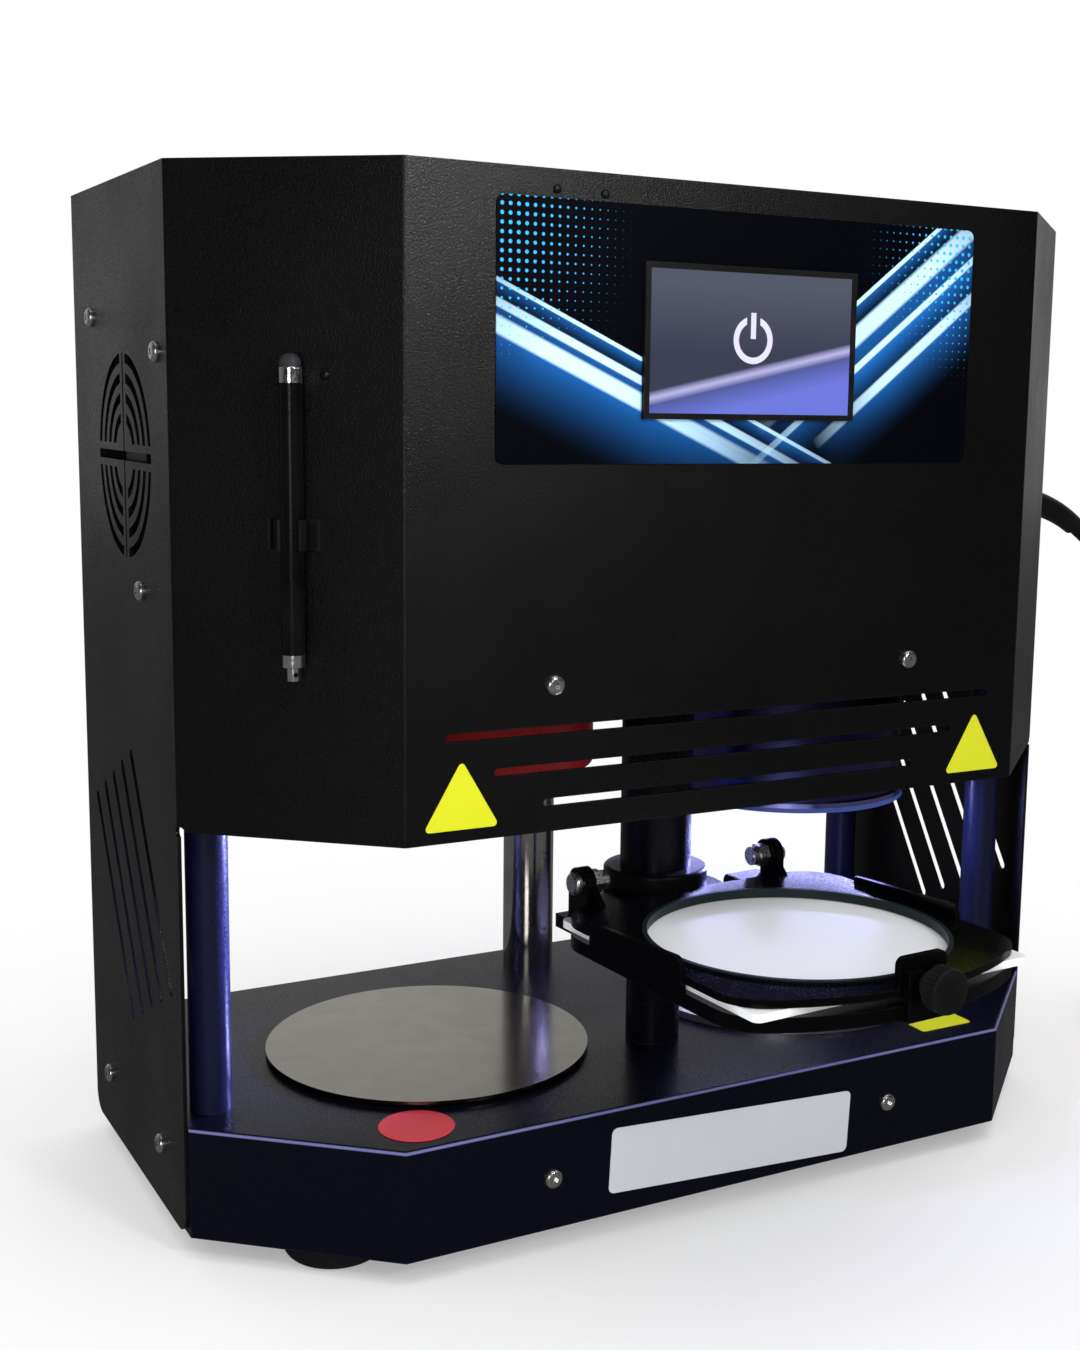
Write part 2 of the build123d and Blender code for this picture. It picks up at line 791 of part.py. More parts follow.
def stylus_and_clip():
    """The touch pen in its spring clip on the left slanted corner."""
    tangent = Vector(chamfer_cos, -chamfer_sin, 0)
    outward = Vector(-chamfer_sin, -chamfer_cos, 0)
    foot = Vector(-front_width / 2, front_y, base_bottom + clip_rise) - tangent * stylus_along
    face = Plane(origin=foot, x_dir=tangent, z_dir=outward)
    standoff = clip_plate + stylus_radius + clip_gap
    plate = Pos(0, 0, clip_plate / 2) * Box(clip_width, clip_height, clip_plate)
    ring = Circle(stylus_radius + running + clip_wall) - Circle(stylus_radius + running)
    reach = 3 * stylus_radius
    spread = reach * math.tan(math.radians(clip_opening / 2))
    ring -= Polygon((0, 0), (-spread, reach), (spread, reach), align=None)
    arms = Plane(origin=(0, clip_height / 2, standoff), x_dir=(1, 0, 0), z_dir=(0, -1, 0)) * ring
    arms = extrude(arms, clip_height)
    wings = Sketch()
    for side in (-1, 1):
        place = Pos(side * (clip_width - clip_wing_wall) / 2, (clip_plate + clip_wing) / 2)
        wings += place * Rectangle(clip_wing_wall, clip_plate + clip_wing)
    wing_plane = Plane(origin=(0, clip_height / 2, 0), x_dir=(1, 0, 0), z_dir=(0, -1, 0))
    wings = extrude(wing_plane * wings, clip_height)
    save("stylus_clip", face * (plate + arms + wings))
    axis = foot + outward * standoff
    bottom = base_bottom + stylus_bottom
    top = bottom + stylus_length
    place = (axis.X, axis.Y)
    save("stylus_barrel", rod(stylus_radius, (bottom, top), *place))
    ferrule = rod(stylus_radius, (top, top + ferrule_height), *place)
    ferrule = fillet(ferrule.edges().sort_by(Axis.Z)[-1:], ferrule_edge)
    cap = rod(stylus_radius, (bottom - end_cap_height, bottom), *place)
    cap = fillet(cap.edges().sort_by(Axis.Z)[:1], ferrule_edge)
    eyelet = rod(eyelet_radius, (bottom - 2 * end_cap_height, bottom - end_cap_height), *place)
    through = (axis.Y - stylus_radius, axis.Y + stylus_radius)
    eyelet -= rod_y(eyelet_hole, through, axis.X, bottom - 1.5 * end_cap_height)
    save("stylus_metal", group([ferrule, cap + eyelet]))
    foot_z = top + ferrule_height
    dome = rod(stylus_radius - tip_step, (foot_z, foot_z + tip_height), *place)
    save("stylus_tip", fillet(dome.edges().sort_by(Axis.Z)[-1:], stylus_radius - 2 * tip_step))


def on_column(shape):
    """Turns a carrier piece, made with the column as its origin, to where it rests."""
    return group([Pos(0, column_y, 0) * Rot(0, 0, rest_turn) * solid for solid in shape.solids()])


def frame_outline():
    """Plan of both carrier frames: straight sides and a front that bulges in one long arc."""
    width = 2 * frame_half
    sides = Pos(0, (frame_front + frame_rear) / 2) * Rectangle(width, frame_rear - frame_front)
    outline = sides & (Pos(0, frame_front + frame_bulge) * Circle(frame_bulge))
    return fillet(outline.vertices(), frame_corner)


def lug(x, outline):
    """A hinge ear, rounded about the hinge axis, on the outline of its foot in Y and Z."""
    side = Plane(origin=(x[0], 0, 0), x_dir=(0, 1, 0), z_dir=(1, 0, 0))
    ear = Pos(-hinge_back, hinge_z) * Circle(lug_radius) + Polygon(*outline, align=None)
    return extrude(side * ear, x[1] - x[0], dir=(1, 0, 0))


def lower_frame():
    """The frame under the sheet, with its side guides, rear stops, hinge ears, latch and collar boss."""
    plan_view = frame_outline()
    neck = (frame_rear - neck_overlap, -hinge_back + lug_radius)
    plan_view += Pos(0, sum(neck) / 2) * Rectangle(2 * neck_half_width, neck[1] - neck[0])
    plan_view += Circle(collar_radius + collar_boss)
    latch_y = (frame_front - tab_gap - tab_plate, frame_front - tab_gap)
    root = (latch_y[0], frame_front + tab_plate)
    plan_view += Pos(0, sum(root) / 2) * Rectangle(latch_width, root[1] - root[0])
    plan_view -= Pos(0, -arm_length) * Circle(ring_opening)
    plan_view -= Circle(collar_radius)
    frame = slab(plan_view, (lower_bottom, sheet_bottom))
    near, far = -hinge_back - lug_radius, -hinge_back + lug_radius
    foot = [(near, lower_bottom), (far, lower_bottom), (far, hinge_z), (near, hinge_z)]
    for side in (-1, 1):
        x = sorted((side * frame_half, side * (frame_half - guide_plate)))
        guide = Plane(origin=(x[0], 0, 0), x_dir=(0, 1, 0), z_dir=(1, 0, 0))
        points = [(-guide_front, lower_bottom), (-guide_rear, lower_bottom)]
        points.append((-guide_rear, sheet_bottom + guide_height_rear))
        points.append((-guide_front, sheet_bottom + guide_height_front))
        profile = Polygon(*points, align=None)
        profile = fillet(profile.vertices().group_by(Axis.Y)[-1], guide_corner)
        frame += extrude(guide * profile, guide_plate, dir=(1, 0, 0))
        x = sorted((side * hinge_half_span, side * (hinge_half_span - lug_plate)))
        frame += lug(x, foot)
        frame -= rod_x(hinge_bolt_radius, (x[0] - 1, x[1] + 1), -hinge_back, hinge_z)
        x = sorted((side * stop_near, side * stop_far))
        y = (frame_rear + body_gap, frame_rear + body_gap + stop_depth)
        stop = block(x, y, (lower_bottom, sheet_bottom + stop_height))
        inner = stop.edges().filter_by(Axis.Y).group_by(Axis.Z)[-1].sort_by(Axis.X)[0 if side > 0 else -1]
        frame += fillet(inner, stop_corner)
    latch_top = sheet_bottom + latch_height
    latch = block((-latch_width / 2, latch_width / 2), latch_y, (lower_bottom, latch_top))
    slot_radius = stud_radius + body_gap
    through = (latch_y[0] - 1, latch_y[1] + 1)
    slot = rod_y(slot_radius, through, 0, stud_z)
    slot += block((-slot_radius, slot_radius), through, (stud_z, latch_top + 1))
    return frame + (latch - slot)


def upper_frame():
    """The frame that closes down on the sheet. It hinges at the back and is clamped at the front."""
    plan_view = frame_outline() - Pos(0, -arm_length) * Circle(ring_opening + ring_wall)
    inner = frame_half - guide_plate - 2 * body_gap
    for side in (-1, 1):
        notch_y = (guide_front + guide_rear) / 2
        width = frame_half - inner + guide_notch_play
        notch = Rectangle(width, guide_front - guide_rear + 2 * guide_notch_play)
        plan_view -= Pos(side * (inner + width / 2), -notch_y) * notch
    frame = slab(plan_view, (upper_bottom, upper_top))
    near, far = frame_rear - lug_foot, -hinge_back + lug_radius
    foot = [(near, upper_bottom), (-hinge_back - lug_radius - lug_heel, upper_bottom), (far, hinge_z)]
    foot += [(-hinge_back - lug_radius, hinge_z), (near, upper_top)]
    for side in (-1, 1):
        outer = hinge_half_span - lug_plate - body_gap
        x = sorted((side * outer, side * (outer - lug_plate)))
        frame += lug(x, foot)
        frame -= rod_x(hinge_bolt_radius + running, (x[0] - 1, x[1] + 1), -hinge_back, hinge_z)
    tab_y = (frame_front, frame_front + tab_plate)
    tab = block((-tab_width / 2, tab_width / 2), tab_y, (upper_bottom, upper_top + tab_height))
    tab = fillet(tab.edges().filter_by(Axis.Y).sort_by(Axis.Z)[-2:], tab_corner)
    frame += tab
    return frame - rod_y(stud_radius, (tab_y[0] - 1, tab_y[1] + 1), 0, stud_z)


def seal_ring():
    """The slate grey ring in the upper frame, which presses on the sheet all round."""
    z = (upper_bottom, upper_bottom + ring_height)
    return pipe(ring_opening + ring_wall, ring_opening, z, 0, -arm_length)


def plastic_sheet():
    outline = RectangleRounded(sheet_size, sheet_size, sheet_corner)
    return slab(Pos(0, sheet_back - arm_length) * outline, (sheet_bottom, sheet_top))


def hinge_nut_faces(side):
    """Where a hinge nut's outer face, the end of its hexagon and its inner end stand along X."""
    outer = hinge_half_span - 2 * lug_plate - 2 * body_gap
    step = outer - hinge_nut_height
    return side * outer, side * step, side * (step - nut_collar_length)


def hinge_bolts():
    """Two button-head bolts through the ears, their heads outside."""
    bolts = []
    for side in (-1, 1):
        head = sorted((side * hinge_half_span, side * (hinge_half_span + hinge_head_height)))
        tip = hinge_nut_faces(side)[2] - side * hinge_bolt_tip
        button = rod_x(hinge_head_radius, head, -hinge_back, hinge_z)
        outer_edge = button.edges().filter_by(GeomType.CIRCLE).sort_by(Axis.X)[-1 if side > 0 else 0]
        button = fillet(outer_edge, hinge_head_height / 2)
        shank = sorted((side * (hinge_half_span + hinge_head_height / 2), tip))
        bolts.append(button + rod_x(hinge_bolt_radius, shank, -hinge_back, hinge_z))
    return group(bolts)


def hinge_nuts():
    """Lock nuts: a hexagon against the ear and a round collar at its inner end."""
    nuts = []
    for side in (-1, 1):
        outer, step, inner = hinge_nut_faces(side)
        hexagon = Plane(origin=(min(outer, step), -hinge_back, hinge_z), x_dir=(0, 1, 0), z_dir=(1, 0, 0))
        nut = extrude(hexagon * RegularPolygon(hinge_nut_radius, 6), hinge_nut_height, dir=(1, 0, 0))
        nut += rod_x(nut_collar_radius, sorted((outer, inner)), -hinge_back, hinge_z)
        bore = sorted((outer + side, inner - side))
        nuts.append(nut - rod_x(hinge_bolt_radius, bore, -hinge_back, hinge_z))
    return group(nuts)


def clamp_stud():
    return rod_y(stud_radius, (knob_far + stud_bite, frame_front + tab_plate), 0, stud_z)


def clamp_knob():
    """A round knob on a plain boss, with fine grooves along its edge."""
    step = knob_near - knob_boss_length
    knob = rod_y(knob_radius, (knob_far, step), 0, stud_z)
    knob = fillet(knob.edges().filter_by(GeomType.CIRCLE).sort_by(Axis.Y)[0], knob_edge)
    for i in range(knob_grooves):
        angle = 2 * math.pi * i / knob_grooves
        x = knob_radius * math.cos(angle)
        z = stud_z + knob_radius * math.sin(angle)
        knob -= rod_y(knob_groove_radius, (knob_far + 1.2 * knob_edge, step + 1), x, z)
    knob += rod_y(knob_boss_radius, (step, knob_near), 0, stud_z)
    return knob - rod_y(stud_radius + running, (knob_far + stud_bite - running, knob_near + 1), 0, stud_z)


def lift_sleeve():
    return pipe(sleeve_radius, guide_radius + running, (collar_bottom, gear_top + gear_hub_height))


def collar():
    ring = rod(collar_radius, (collar_bottom, collar_top))
    ring = fillet(ring.edges().filter_by(GeomType.CIRCLE).sort_by(Axis.Z)[-1:], collar_edge)
    return ring - rod(sleeve_radius, (collar_bottom - 1, collar_top + 1))


def gear_face(teeth):
    """A spur gear's outline, its flanks following the involute of the base circle."""
    pitch = gear_module * teeth / 2
    base = pitch * math.cos(math.radians(pressure_angle))
    tip = pitch + gear_module * 0.95
    root = pitch - gear_module * 1.25

    def roll(radius):
        angle = math.acos(base / radius)
        return math.tan(angle) - angle

    half_tooth = math.pi / (2 * teeth) - gear_backlash / (2 * pitch)
    start = max(base, root)
    radii = [start + (tip - start) * k / 3 for k in range(4)]
    points = []
    for i in range(teeth):
        middle = 2 * math.pi * i / teeth
        flank = [(r, half_tooth + roll(pitch) - roll(r)) for r in radii]
        if root < base:
            flank.insert(0, (root, flank[0][1]))
        points += [(r, middle - a) for r, a in flank]
        points += [(r, middle + a) for r, a in reversed(flank)]
    return Polygon(*[(r * math.cos(a), r * math.sin(a)) for r, a in points], align=None)


def swing_gear():
    """The big gear fixed to the top of the sleeve, with its hub."""
    wheel = slab(gear_face(gear_teeth), (gear_bottom, gear_top))
    wheel += rod(sleeve_radius + gear_hub_wall, (gear_top, gear_top + gear_hub_height))
    return wheel - rod(sleeve_radius, (gear_bottom - 1, gear_top + gear_hub_height + 1))


def swing_pinion():
    """The pinion and its shaft. A tooth of the gear points at it, so it is turned by half a tooth."""
    face = Rot(0, 0, 180 / pinion_teeth) * gear_face(pinion_teeth)
    wheel = slab(face, (gear_bottom, gear_top))
    wheel += rod(motor_shaft_radius, (gear_top, shelf_top + motor_height / 3))
    return Pos(pinion_x, 0, 0) * wheel


def motor(x, y, z, shaft_radius, shaft_reach):
    """A square stepper motor with its boss downwards and a blind bore for its shaft."""
    half = motor_size / 2
    body = block((x - half, x + half), (y - half, y + half), z)
    body = chamfer(body.edges().filter_by(Axis.Z), motor_corner)
    body += rod(motor_boss_radius, (z[0] - motor_boss_height, z[0]), x, y)
    return body - rod(shaft_radius, (z[0] - motor_boss_height - 1, z[0] + shaft_reach), x, y)


def carriage():
    """The plate that the lift screw raises. It carries the sleeve's bearing and the swing motor."""
    half = motor_size / 2
    left = pinion_x - half - carriage_wall
    right = screw_offset + nut_flange_radius + carriage_wall
    z = (carriage_bottom, carriage_top)
    y = (column_y - half, column_y + half)
    plate = block((left, right), (y[0], y[1] + carriage_wall), z)
    plate += block((-rod_lug_width, rod_lug_width), (y[1], rod_y_place + rod_lug_width), z)
    plate += block((left, left + carriage_wall), y, (carriage_top, shelf_top))
    plate += block((left, pinion_x + half), y, (shelf_bottom, shelf_top))
    through = (carriage_bottom - 1, carriage_top + 1)
    plate -= rod(bearing_radius, through, 0, column_y)
    plate -= rod(nut_body_radius, through, screw_offset, column_y)
    plate -= rod(guide_rod_radius + lift_screw_play, through, 0, rod_y_place)
    return plate - rod(motor_boss_radius, (shelf_bottom - 1, shelf_top + 1), pinion_x, column_y)


def lift_nut():
    flange = rod(nut_flange_radius, (carriage_top, carriage_top + nut_flange_height), screw_offset, column_y)
    flange += rod(nut_body_radius, (carriage_bottom - nut_tail, carriage_top), screw_offset, column_y)
    bore = (carriage_bottom - nut_tail - 1, carriage_top + nut_flange_height + 1)
    return flange - rod(lift_screw_radius + lift_screw_play, bore, screw_offset, column_y)


def lift_bridge():
    """The folded bracket over the carriage. It holds the lift motor and the top of the guide post."""
    y = (column_y - motor_size / 2, column_y - motor_size / 2 + bridge_depth)
    x = bridge_half_width
    wall = sheet_metal
    bridge = block((-x, x), y, (bridge_bottom, bridge_top))
    for side in (-1, 1):
        leg = sorted((side * x, side * (x - wall)))
        bridge += block(leg, y, (chassis_top, bridge_top))
        foot = sorted((side * (x - wall), side * (x - bridge_foot)))
        bridge += block(foot, y, (chassis_top, chassis_top + wall))
    through = (bridge_bottom - 1, bridge_top + 1)
    bridge -= rod(guide_radius, through, 0, column_y)
    bridge -= rod(motor_boss_radius, through, screw_offset, column_y)
    return bridge - rod(guide_rod_radius, through, 0, rod_y_place)


def vacuum_motor():
    """The blower that draws air down through the table and up the chrome duct."""
    x, y = vacuum_motor_x, front_y + vacuum_motor_back
    top = chassis_top + vacuum_motor_height
    body = rod(vacuum_motor_radius, (chassis_top, top), x, y)
    body = fillet(body.edges().sort_by(Axis.Z)[-1:], vacuum_motor_edge)
    return body + rod(vacuum_motor_radius * vacuum_cap_share, (top - 1, top + vacuum_cap_height), x, y)


def power_supply():
    length, width, height = supply_size
    y = front_y + supply_back - width / 2
    x = (supply_left, supply_left + length)
    box = block(x, (y, y + width), (chassis_top, chassis_top + height))
    z = [chassis_top + rise for rise in terminal_rises]
    return box + block((x[0] + terminal_inset, x[1] - terminal_inset), (y - terminal_depth, y), z)


def inlet():
    """The mains inlet and its switch in one moulded module, and the rocker on its own pivot."""
    face = half_width + inlet_flange_thickness

    def inset(x, width, middle_z, height):
        y = (inlet_y - width / 2, inlet_y + width / 2)
        return block(x, y, (middle_z - height / 2, middle_z + height / 2))

    middle = inlet_z + inlet_offset_z
    flange = inset((half_width, face), inlet_flange_y, middle, inlet_flange_z)
    flange = fillet(flange.edges().filter_by(Axis.X), inlet_flange_corner)
    module = flange + inset((half_width - inlet_body_depth, half_width), inlet_body_y, middle, inlet_body_z)
    module -= inset((face - socket_depth, face + 1), socket_y, inlet_z, socket_z)
    z = inlet_z + rocker_rise
    recess = (rocker_y + 2 * body_gap, rocker_z + 2 * rocker_swing_room)
    module -= inset((face - rocker_recess, face + 1), recess[0], z, recess[1])
    save("power_inlet", module)
    side = Plane(origin=(0, inlet_y - rocker_y / 2, 0), x_dir=(1, 0, 0), z_dir=(0, -1, 0))
    root = face - rocker_pivot - rocker_root
    front = face - rocker_pivot + rocker_depth
    half = rocker_z / 2
    points = [(root, z - half + rocker_root), (front, z - half), (front - rocker_dish, z)]
    points += [(front - rocker_rest, z + half), (root, z + half - rocker_root)]
    save("power_rocker", extrude(side * Polygon(*points, align=None), -rocker_y))


def relief_path():
    """The strain relief's bend: out of the connector, then down."""
    start = Vector(half_width + inlet_flange_thickness + connector_length, inlet_y, inlet_z)
    return TangentArc(start, start + Vector(relief_reach, 0, -relief_drop), tangent=(1, 0, 0))


def lead_connector():
    """The moulded connector, its nose in the inlet."""
    face = half_width + inlet_flange_thickness
    y = (inlet_y - connector_y / 2, inlet_y + connector_y / 2)
    z = (inlet_z - connector_z / 2, inlet_z + connector_z / 2)
    body = block((face, face + connector_length), y, z)
    body = fillet(body.edges().filter_by(Axis.X), connector_corner)
    body = fillet(body.edges().group_by(Axis.X)[-1], connector_edge)
    half_y = socket_y / 2 - socket_play
    half_z = socket_z / 2 - socket_play
    y = (inlet_y - half_y, inlet_y + half_y)
    z = (inlet_z - half_z, inlet_z + half_z)
    return body + block((face - socket_depth + nose_play, face), y, z)


def lead_relief():
    """The tapered strain relief, lofted through rings along its bend."""
    path = relief_path()
    rings = []
    for i in range(relief_rings):
        share = i / (relief_rings - 1)
        radius = relief_start_radius + (relief_end_radius - relief_start_radius) * share
        rings.append(Plane(origin=path @ share, z_dir=path % share) * Circle(radius))
    return loft(rings)


def lead_route():
    """The points of the lead from the strain relief to the coil on the table."""
    path = relief_path()
    start = path @ 1
    down = path % 1
    points = [start, start + down * lead_lead_out]
    for x, back, z in lead_points:
        points.append(Vector(x, front_y + back, z))
    return points


def coil_frames():
    """Points and directions along the coil: in on the table, up one layer, and out again on top."""
    pitch = 2 * lead_radius + coil_gap
    outer = coil_mean_radius + pitch * coil_turns_in / 2
    inner = outer - pitch * coil_turns_in
    layer = 2 * lead_radius + coil_gap
    spiral = coil_turns_in * 2 * math.pi
    unwound = coil_turns_out * 2 * math.pi
    climb = math.pi
    frames = []

    def place(angle, radius, slope_r, z, slope_z):
        x = coil_x + radius * math.cos(-angle)
        y = front_y + coil_back + radius * math.sin(-angle)
        along = Vector(slope_r * math.cos(angle) - radius * math.sin(angle),
                       -slope_r * math.sin(angle) - radius * math.cos(angle), slope_z)
        frames.append((Vector(x, y, z), along.normalized()))

    steps = round(coil_turns_in * 4)
    rate = (outer - inner) / spiral
    for i in range(steps + 1):
        angle = spiral * i / steps
        place(angle, outer - rate * angle, -rate, lead_radius, 0)
    for i in (1, 2):
        share = i / 2
        height = layer * (1 - math.cos(math.pi * share)) / 2
        slope_z = layer * math.sin(math.pi * share) / 2 * math.pi / climb
        slope_r = -rate + 2 * rate * share
        radius = inner - rate * climb * share * (1 - share)
        place(spiral + climb * share, radius, slope_r, lead_radius + height, slope_z)
    steps = round(coil_turns_out * 4)
    for i in range(1, steps + 1):
        angle = unwound * i / steps
        place(spiral + climb + angle, inner + rate * angle, rate, lead_radius + layer, 0)
    return frames


def biarc(start, start_dir, end, end_dir):
    """Two arcs that join one point and direction to the next."""
    chord = end - start
    both = start_dir + end_dir
    a = 2 * (1 - start_dir.dot(end_dir))
    b = chord.dot(both)
    reach = (-b + math.sqrt(b * b + a * chord.dot(chord))) / a
    near = start + start_dir * reach
    far = end - end_dir * reach
    middle = (near + far) / 2
    joint = (far - near).normalized()
    return [TangentArc(start, middle, tangent=start_dir), TangentArc(middle, end, tangent=joint)]


def coil_line():
    """The coil's centre line, with a short straight end each side."""
    frames = coil_frames()
    lead_in = frames[0][0] - frames[0][1] * 2 * lead_radius
    lead_out = frames[-1][0] + frames[-1][1] * coil_tail
    edges = [Line(lead_in, frames[0][0])]
    for (start, start_dir), (end, end_dir) in zip(frames, frames[1:]):
        edges += biarc(start, start_dir, end, end_dir)
    edges.append(Line(frames[-1][0], lead_out))
    return edges


def least_gap(edges):
    """The least distance between the surfaces of turns that aren't neighbours along the tube."""
    points = []
    travelled = []
    total = 0.0
    for edge in edges:
        count = max(2, int(edge.length / 1.5))
        for i in range(count):
            points.append(edge @ (i / count))
            travelled.append(total + edge.length * i / count)
        total += edge.length
    least = 1e9
    for i, point in enumerate(points):
        for j in range(i + 1, len(points)):
            if travelled[j] - travelled[i] > 12 * lead_radius:
                least = min(least, (points[j] - point).length)
    return least - 2 * lead_radius, total


def swept(edges, radius):
    path = Wire(edges) if len(edges) > 1 else edges[0]
    return sweep(Plane(origin=path @ 0, z_dir=path % 0) * Circle(radius), path=path)


def power_lead():
    """The lead's free stretch: straight runs joined by arcs, each as large as its two runs allow."""
    points = lead_route()
    coil = coil_line()
    entry = coil[0] @ 0
    along = coil[0] % 0
    points += [entry - along * coil_approach, entry]
    runs = [(b - a).length for a, b in zip(points, points[1:])]
    radii = []
    for before, here, after in zip(points, points[1:], points[2:]):
        angle = math.radians((here - before).get_angle(after - here))
        shorter = min((here - before).length, (after - here).length)
        radii.append(0.45 * shorter / math.tan(angle / 2))
    line = FilletPolyline(*points, radius=radii)
    path = Wire(line.edges())
    tube = sweep(Plane(origin=path @ 0, z_dir=path % 0) * Circle(lead_radius), path=path)
    share = tube.volume / (math.pi * lead_radius ** 2 * path.length)
    print("lead runs", [round(r, 1) for r in runs])
    print("lead radii", [round(r, 1) for r in radii])
    print("lead length", round(path.length, 1), "volume share", round(share, 4))
    return tube


def lead_coil():
    edges = coil_line()
    gap, length = least_gap(edges)
    print("coil length", round(length, 1), "least gap", round(gap, 2))
    return swept(edges, lead_radius)


def lead_plug():
    """The plug at the lead's far end, lying on the table beside the coil, with its two pins."""
    end = coil_line()[-1]
    origin = end @ 1
    face = Plane(origin=origin, x_dir=Vector(0, 0, 1).cross(end % 1), z_dir=end % 1)
    half = origin.Z
    neck = plug_neck_length
    sleeve = Pos(0, 0, neck / 2) * Cone(lead_radius + plug_neck_start, lead_radius + plug_neck_end, neck)
    body = Pos(0, 0, neck + plug_length / 2) * Box(plug_width, 2 * half, plug_length)
    body = fillet(body.edges().filter_by(Axis.Z), plug_corner)
    body = fillet(body.edges().group_by(Axis.Z)[-1], plug_edge)
    pin_middle = neck + plug_length + pin_length / 2
    for side in (-1, 1):
        body += Pos(side * pin_spread, 0, pin_middle) * Cylinder(pin_radius, pin_length)
    return face * (sleeve + body)


def build():
    save("front_casing", front_casing())
    save("top_cover", top_cover())
    save("rear_cover", rear_cover())
    save("chassis_plate", chassis_plate())
    save("base_shell", base_shell())
    save("base_bottom", base_bottom_plate())
    save("rubber_feet", rubber_feet())
    save("corner_posts", corner_posts())
    duct = pipe(duct_radius, duct_radius - duct_wall, (base_top, chassis_bottom))
    save("vacuum_duct", Pos(duct_offset, front_y + duct_back, 0) * duct)
    save("guide_post", rod(guide_radius, (base_top, bridge_top), 0, column_y))
    save("case_screws", case_screws())
    save("heat_reflector", heat_reflector())
    save("vacuum_table", vacuum_table())
    save("table_seal", table_seal())
    save("heater_housing", heater_housing())
    save("heater_plate", heater_plate())
    moulding_head()
    control_panel()
    fan()
    stylus_and_clip()
    save("lower_frame", on_column(lower_frame()))
    save("upper_frame", on_column(upper_frame()))
    save("seal_ring", on_column(seal_ring()))
    save("plastic_sheet", on_column(plastic_sheet()))
    save("hinge_bolts", on_column(hinge_bolts()))
    save("hinge_nuts", on_column(hinge_nuts()))
    save("clamp_stud", on_column(clamp_stud()))
    save("clamp_knob", on_column(clamp_knob()))
    save("lift_sleeve", on_column(lift_sleeve()))
    save("collar", on_column(collar()))
    save("swing_gear", Pos(0, column_y, 0) * swing_gear())
    save("swing_pinion", Pos(0, column_y, 0) * swing_pinion())
    bearing_z = (carriage_bottom, carriage_bottom + bearing_width)
    save("sleeve_bearing", pipe(bearing_radius, sleeve_radius + running, bearing_z, 0, column_y))
    save("carriage", carriage())
    save("lift_nut", lift_nut())
    shaft_bore = motor_shaft_radius + lift_screw_play
    motor_z = (shelf_top, swing_motor_top)
    save("swing_motor", motor(pinion_x, column_y, motor_z, shaft_bore, motor_height / 3 + 1))
    motor_z = (bridge_top, bridge_top + motor_height)
    screw_bore = lift_screw_radius + lift_screw_play
    save("lift_motor", motor(screw_offset, column_y, motor_z, screw_bore, motor_screw_depth))
    screw_z = (chassis_top + body_gap, bridge_top + lift_screw_tip)
    save("lift_screw", rod(lift_screw_radius, screw_z, screw_offset, column_y))
    save("guide_rod", rod(guide_rod_radius, (chassis_top, bridge_top), 0, rod_y_place))
    save("lift_bridge", lift_bridge())
    save("vacuum_motor", vacuum_motor())
    save("power_supply", power_supply())
    inlet()
    save("lead_connector", lead_connector())
    save("lead_relief", lead_relief())
    save("power_lead", power_lead())
    save("power_lead_coil", lead_coil())
    save("lead_plug", lead_plug())


build()
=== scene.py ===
# %% [markdown]
# # A dental thermoforming machine
# A black powder-coated cabinet holds a heater, a moulding head and a touch screen. Between the
# cabinet and its base a frame on a column swings a clamped plastic sheet from one to the other.
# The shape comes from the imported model. This lesson gives every surface its finish, adds the
# lead and the thin printed pieces, and lights the machine as a studio would.

# %% Load the model
import bpy
import bmesh
import math
from mathutils import Matrix, Vector


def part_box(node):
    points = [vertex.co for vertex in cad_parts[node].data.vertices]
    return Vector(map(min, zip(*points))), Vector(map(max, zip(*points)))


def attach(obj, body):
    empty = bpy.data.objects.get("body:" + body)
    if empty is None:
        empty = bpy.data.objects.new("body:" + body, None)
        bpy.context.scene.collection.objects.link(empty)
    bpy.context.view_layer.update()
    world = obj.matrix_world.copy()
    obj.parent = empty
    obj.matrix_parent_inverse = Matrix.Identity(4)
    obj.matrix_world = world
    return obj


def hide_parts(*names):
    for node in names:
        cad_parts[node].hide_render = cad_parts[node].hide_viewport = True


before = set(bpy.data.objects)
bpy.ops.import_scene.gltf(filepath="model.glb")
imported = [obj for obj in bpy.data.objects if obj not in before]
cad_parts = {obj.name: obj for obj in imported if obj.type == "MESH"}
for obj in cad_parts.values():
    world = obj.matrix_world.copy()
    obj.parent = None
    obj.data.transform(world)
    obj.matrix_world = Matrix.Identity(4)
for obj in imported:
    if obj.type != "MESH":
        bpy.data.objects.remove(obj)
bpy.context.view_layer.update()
scene = bpy.context.scene

# %% [markdown]
# ## Planes of the machine
# Later steps need a few planes of the cabinet and the base. They could be typed in, but reading
# them from the model's own boxes keeps every added piece on the surface that carries it.

# %% Planes of the machine
MM = 0.001
base_low, base_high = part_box("base_shell")
front_y = base_low.y
base_bottom = base_low.z
base_top = base_high.z
half_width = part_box("front_casing")[1].x
print("front face at y", round(front_y, 4), "base top at z", round(base_top, 4))

# %% [markdown]
# ## The camera
# The photograph was taken from the left and looks a little down, through a normal lens. A camera
# could be turned by eye until it fits, but then every shape would be bent to match. So its place,
# turn and lens were solved from corners, screws and slots whose real places are known. The lens
# doesn't point at the middle of the cropped picture, and a small shift stands for that.

# %% Camera
PHOTO_HEIGHT = 1350
PHOTO_MIDDLE = (540, 675)
PRINCIPAL_POINT = (621.2, 665.84)
FOCAL_PIXELS = 1743.93
# In an upright picture Blender lays the sensor's width, in millimetres, along the height.
SENSOR_WIDTH = 36
EYE = Vector((-371.697 * MM, front_y - 556.426 * MM, base_bottom + 313.574 * MM))
YAW = 0.5192
PITCH = 0.1504
ROLL = 0.0165


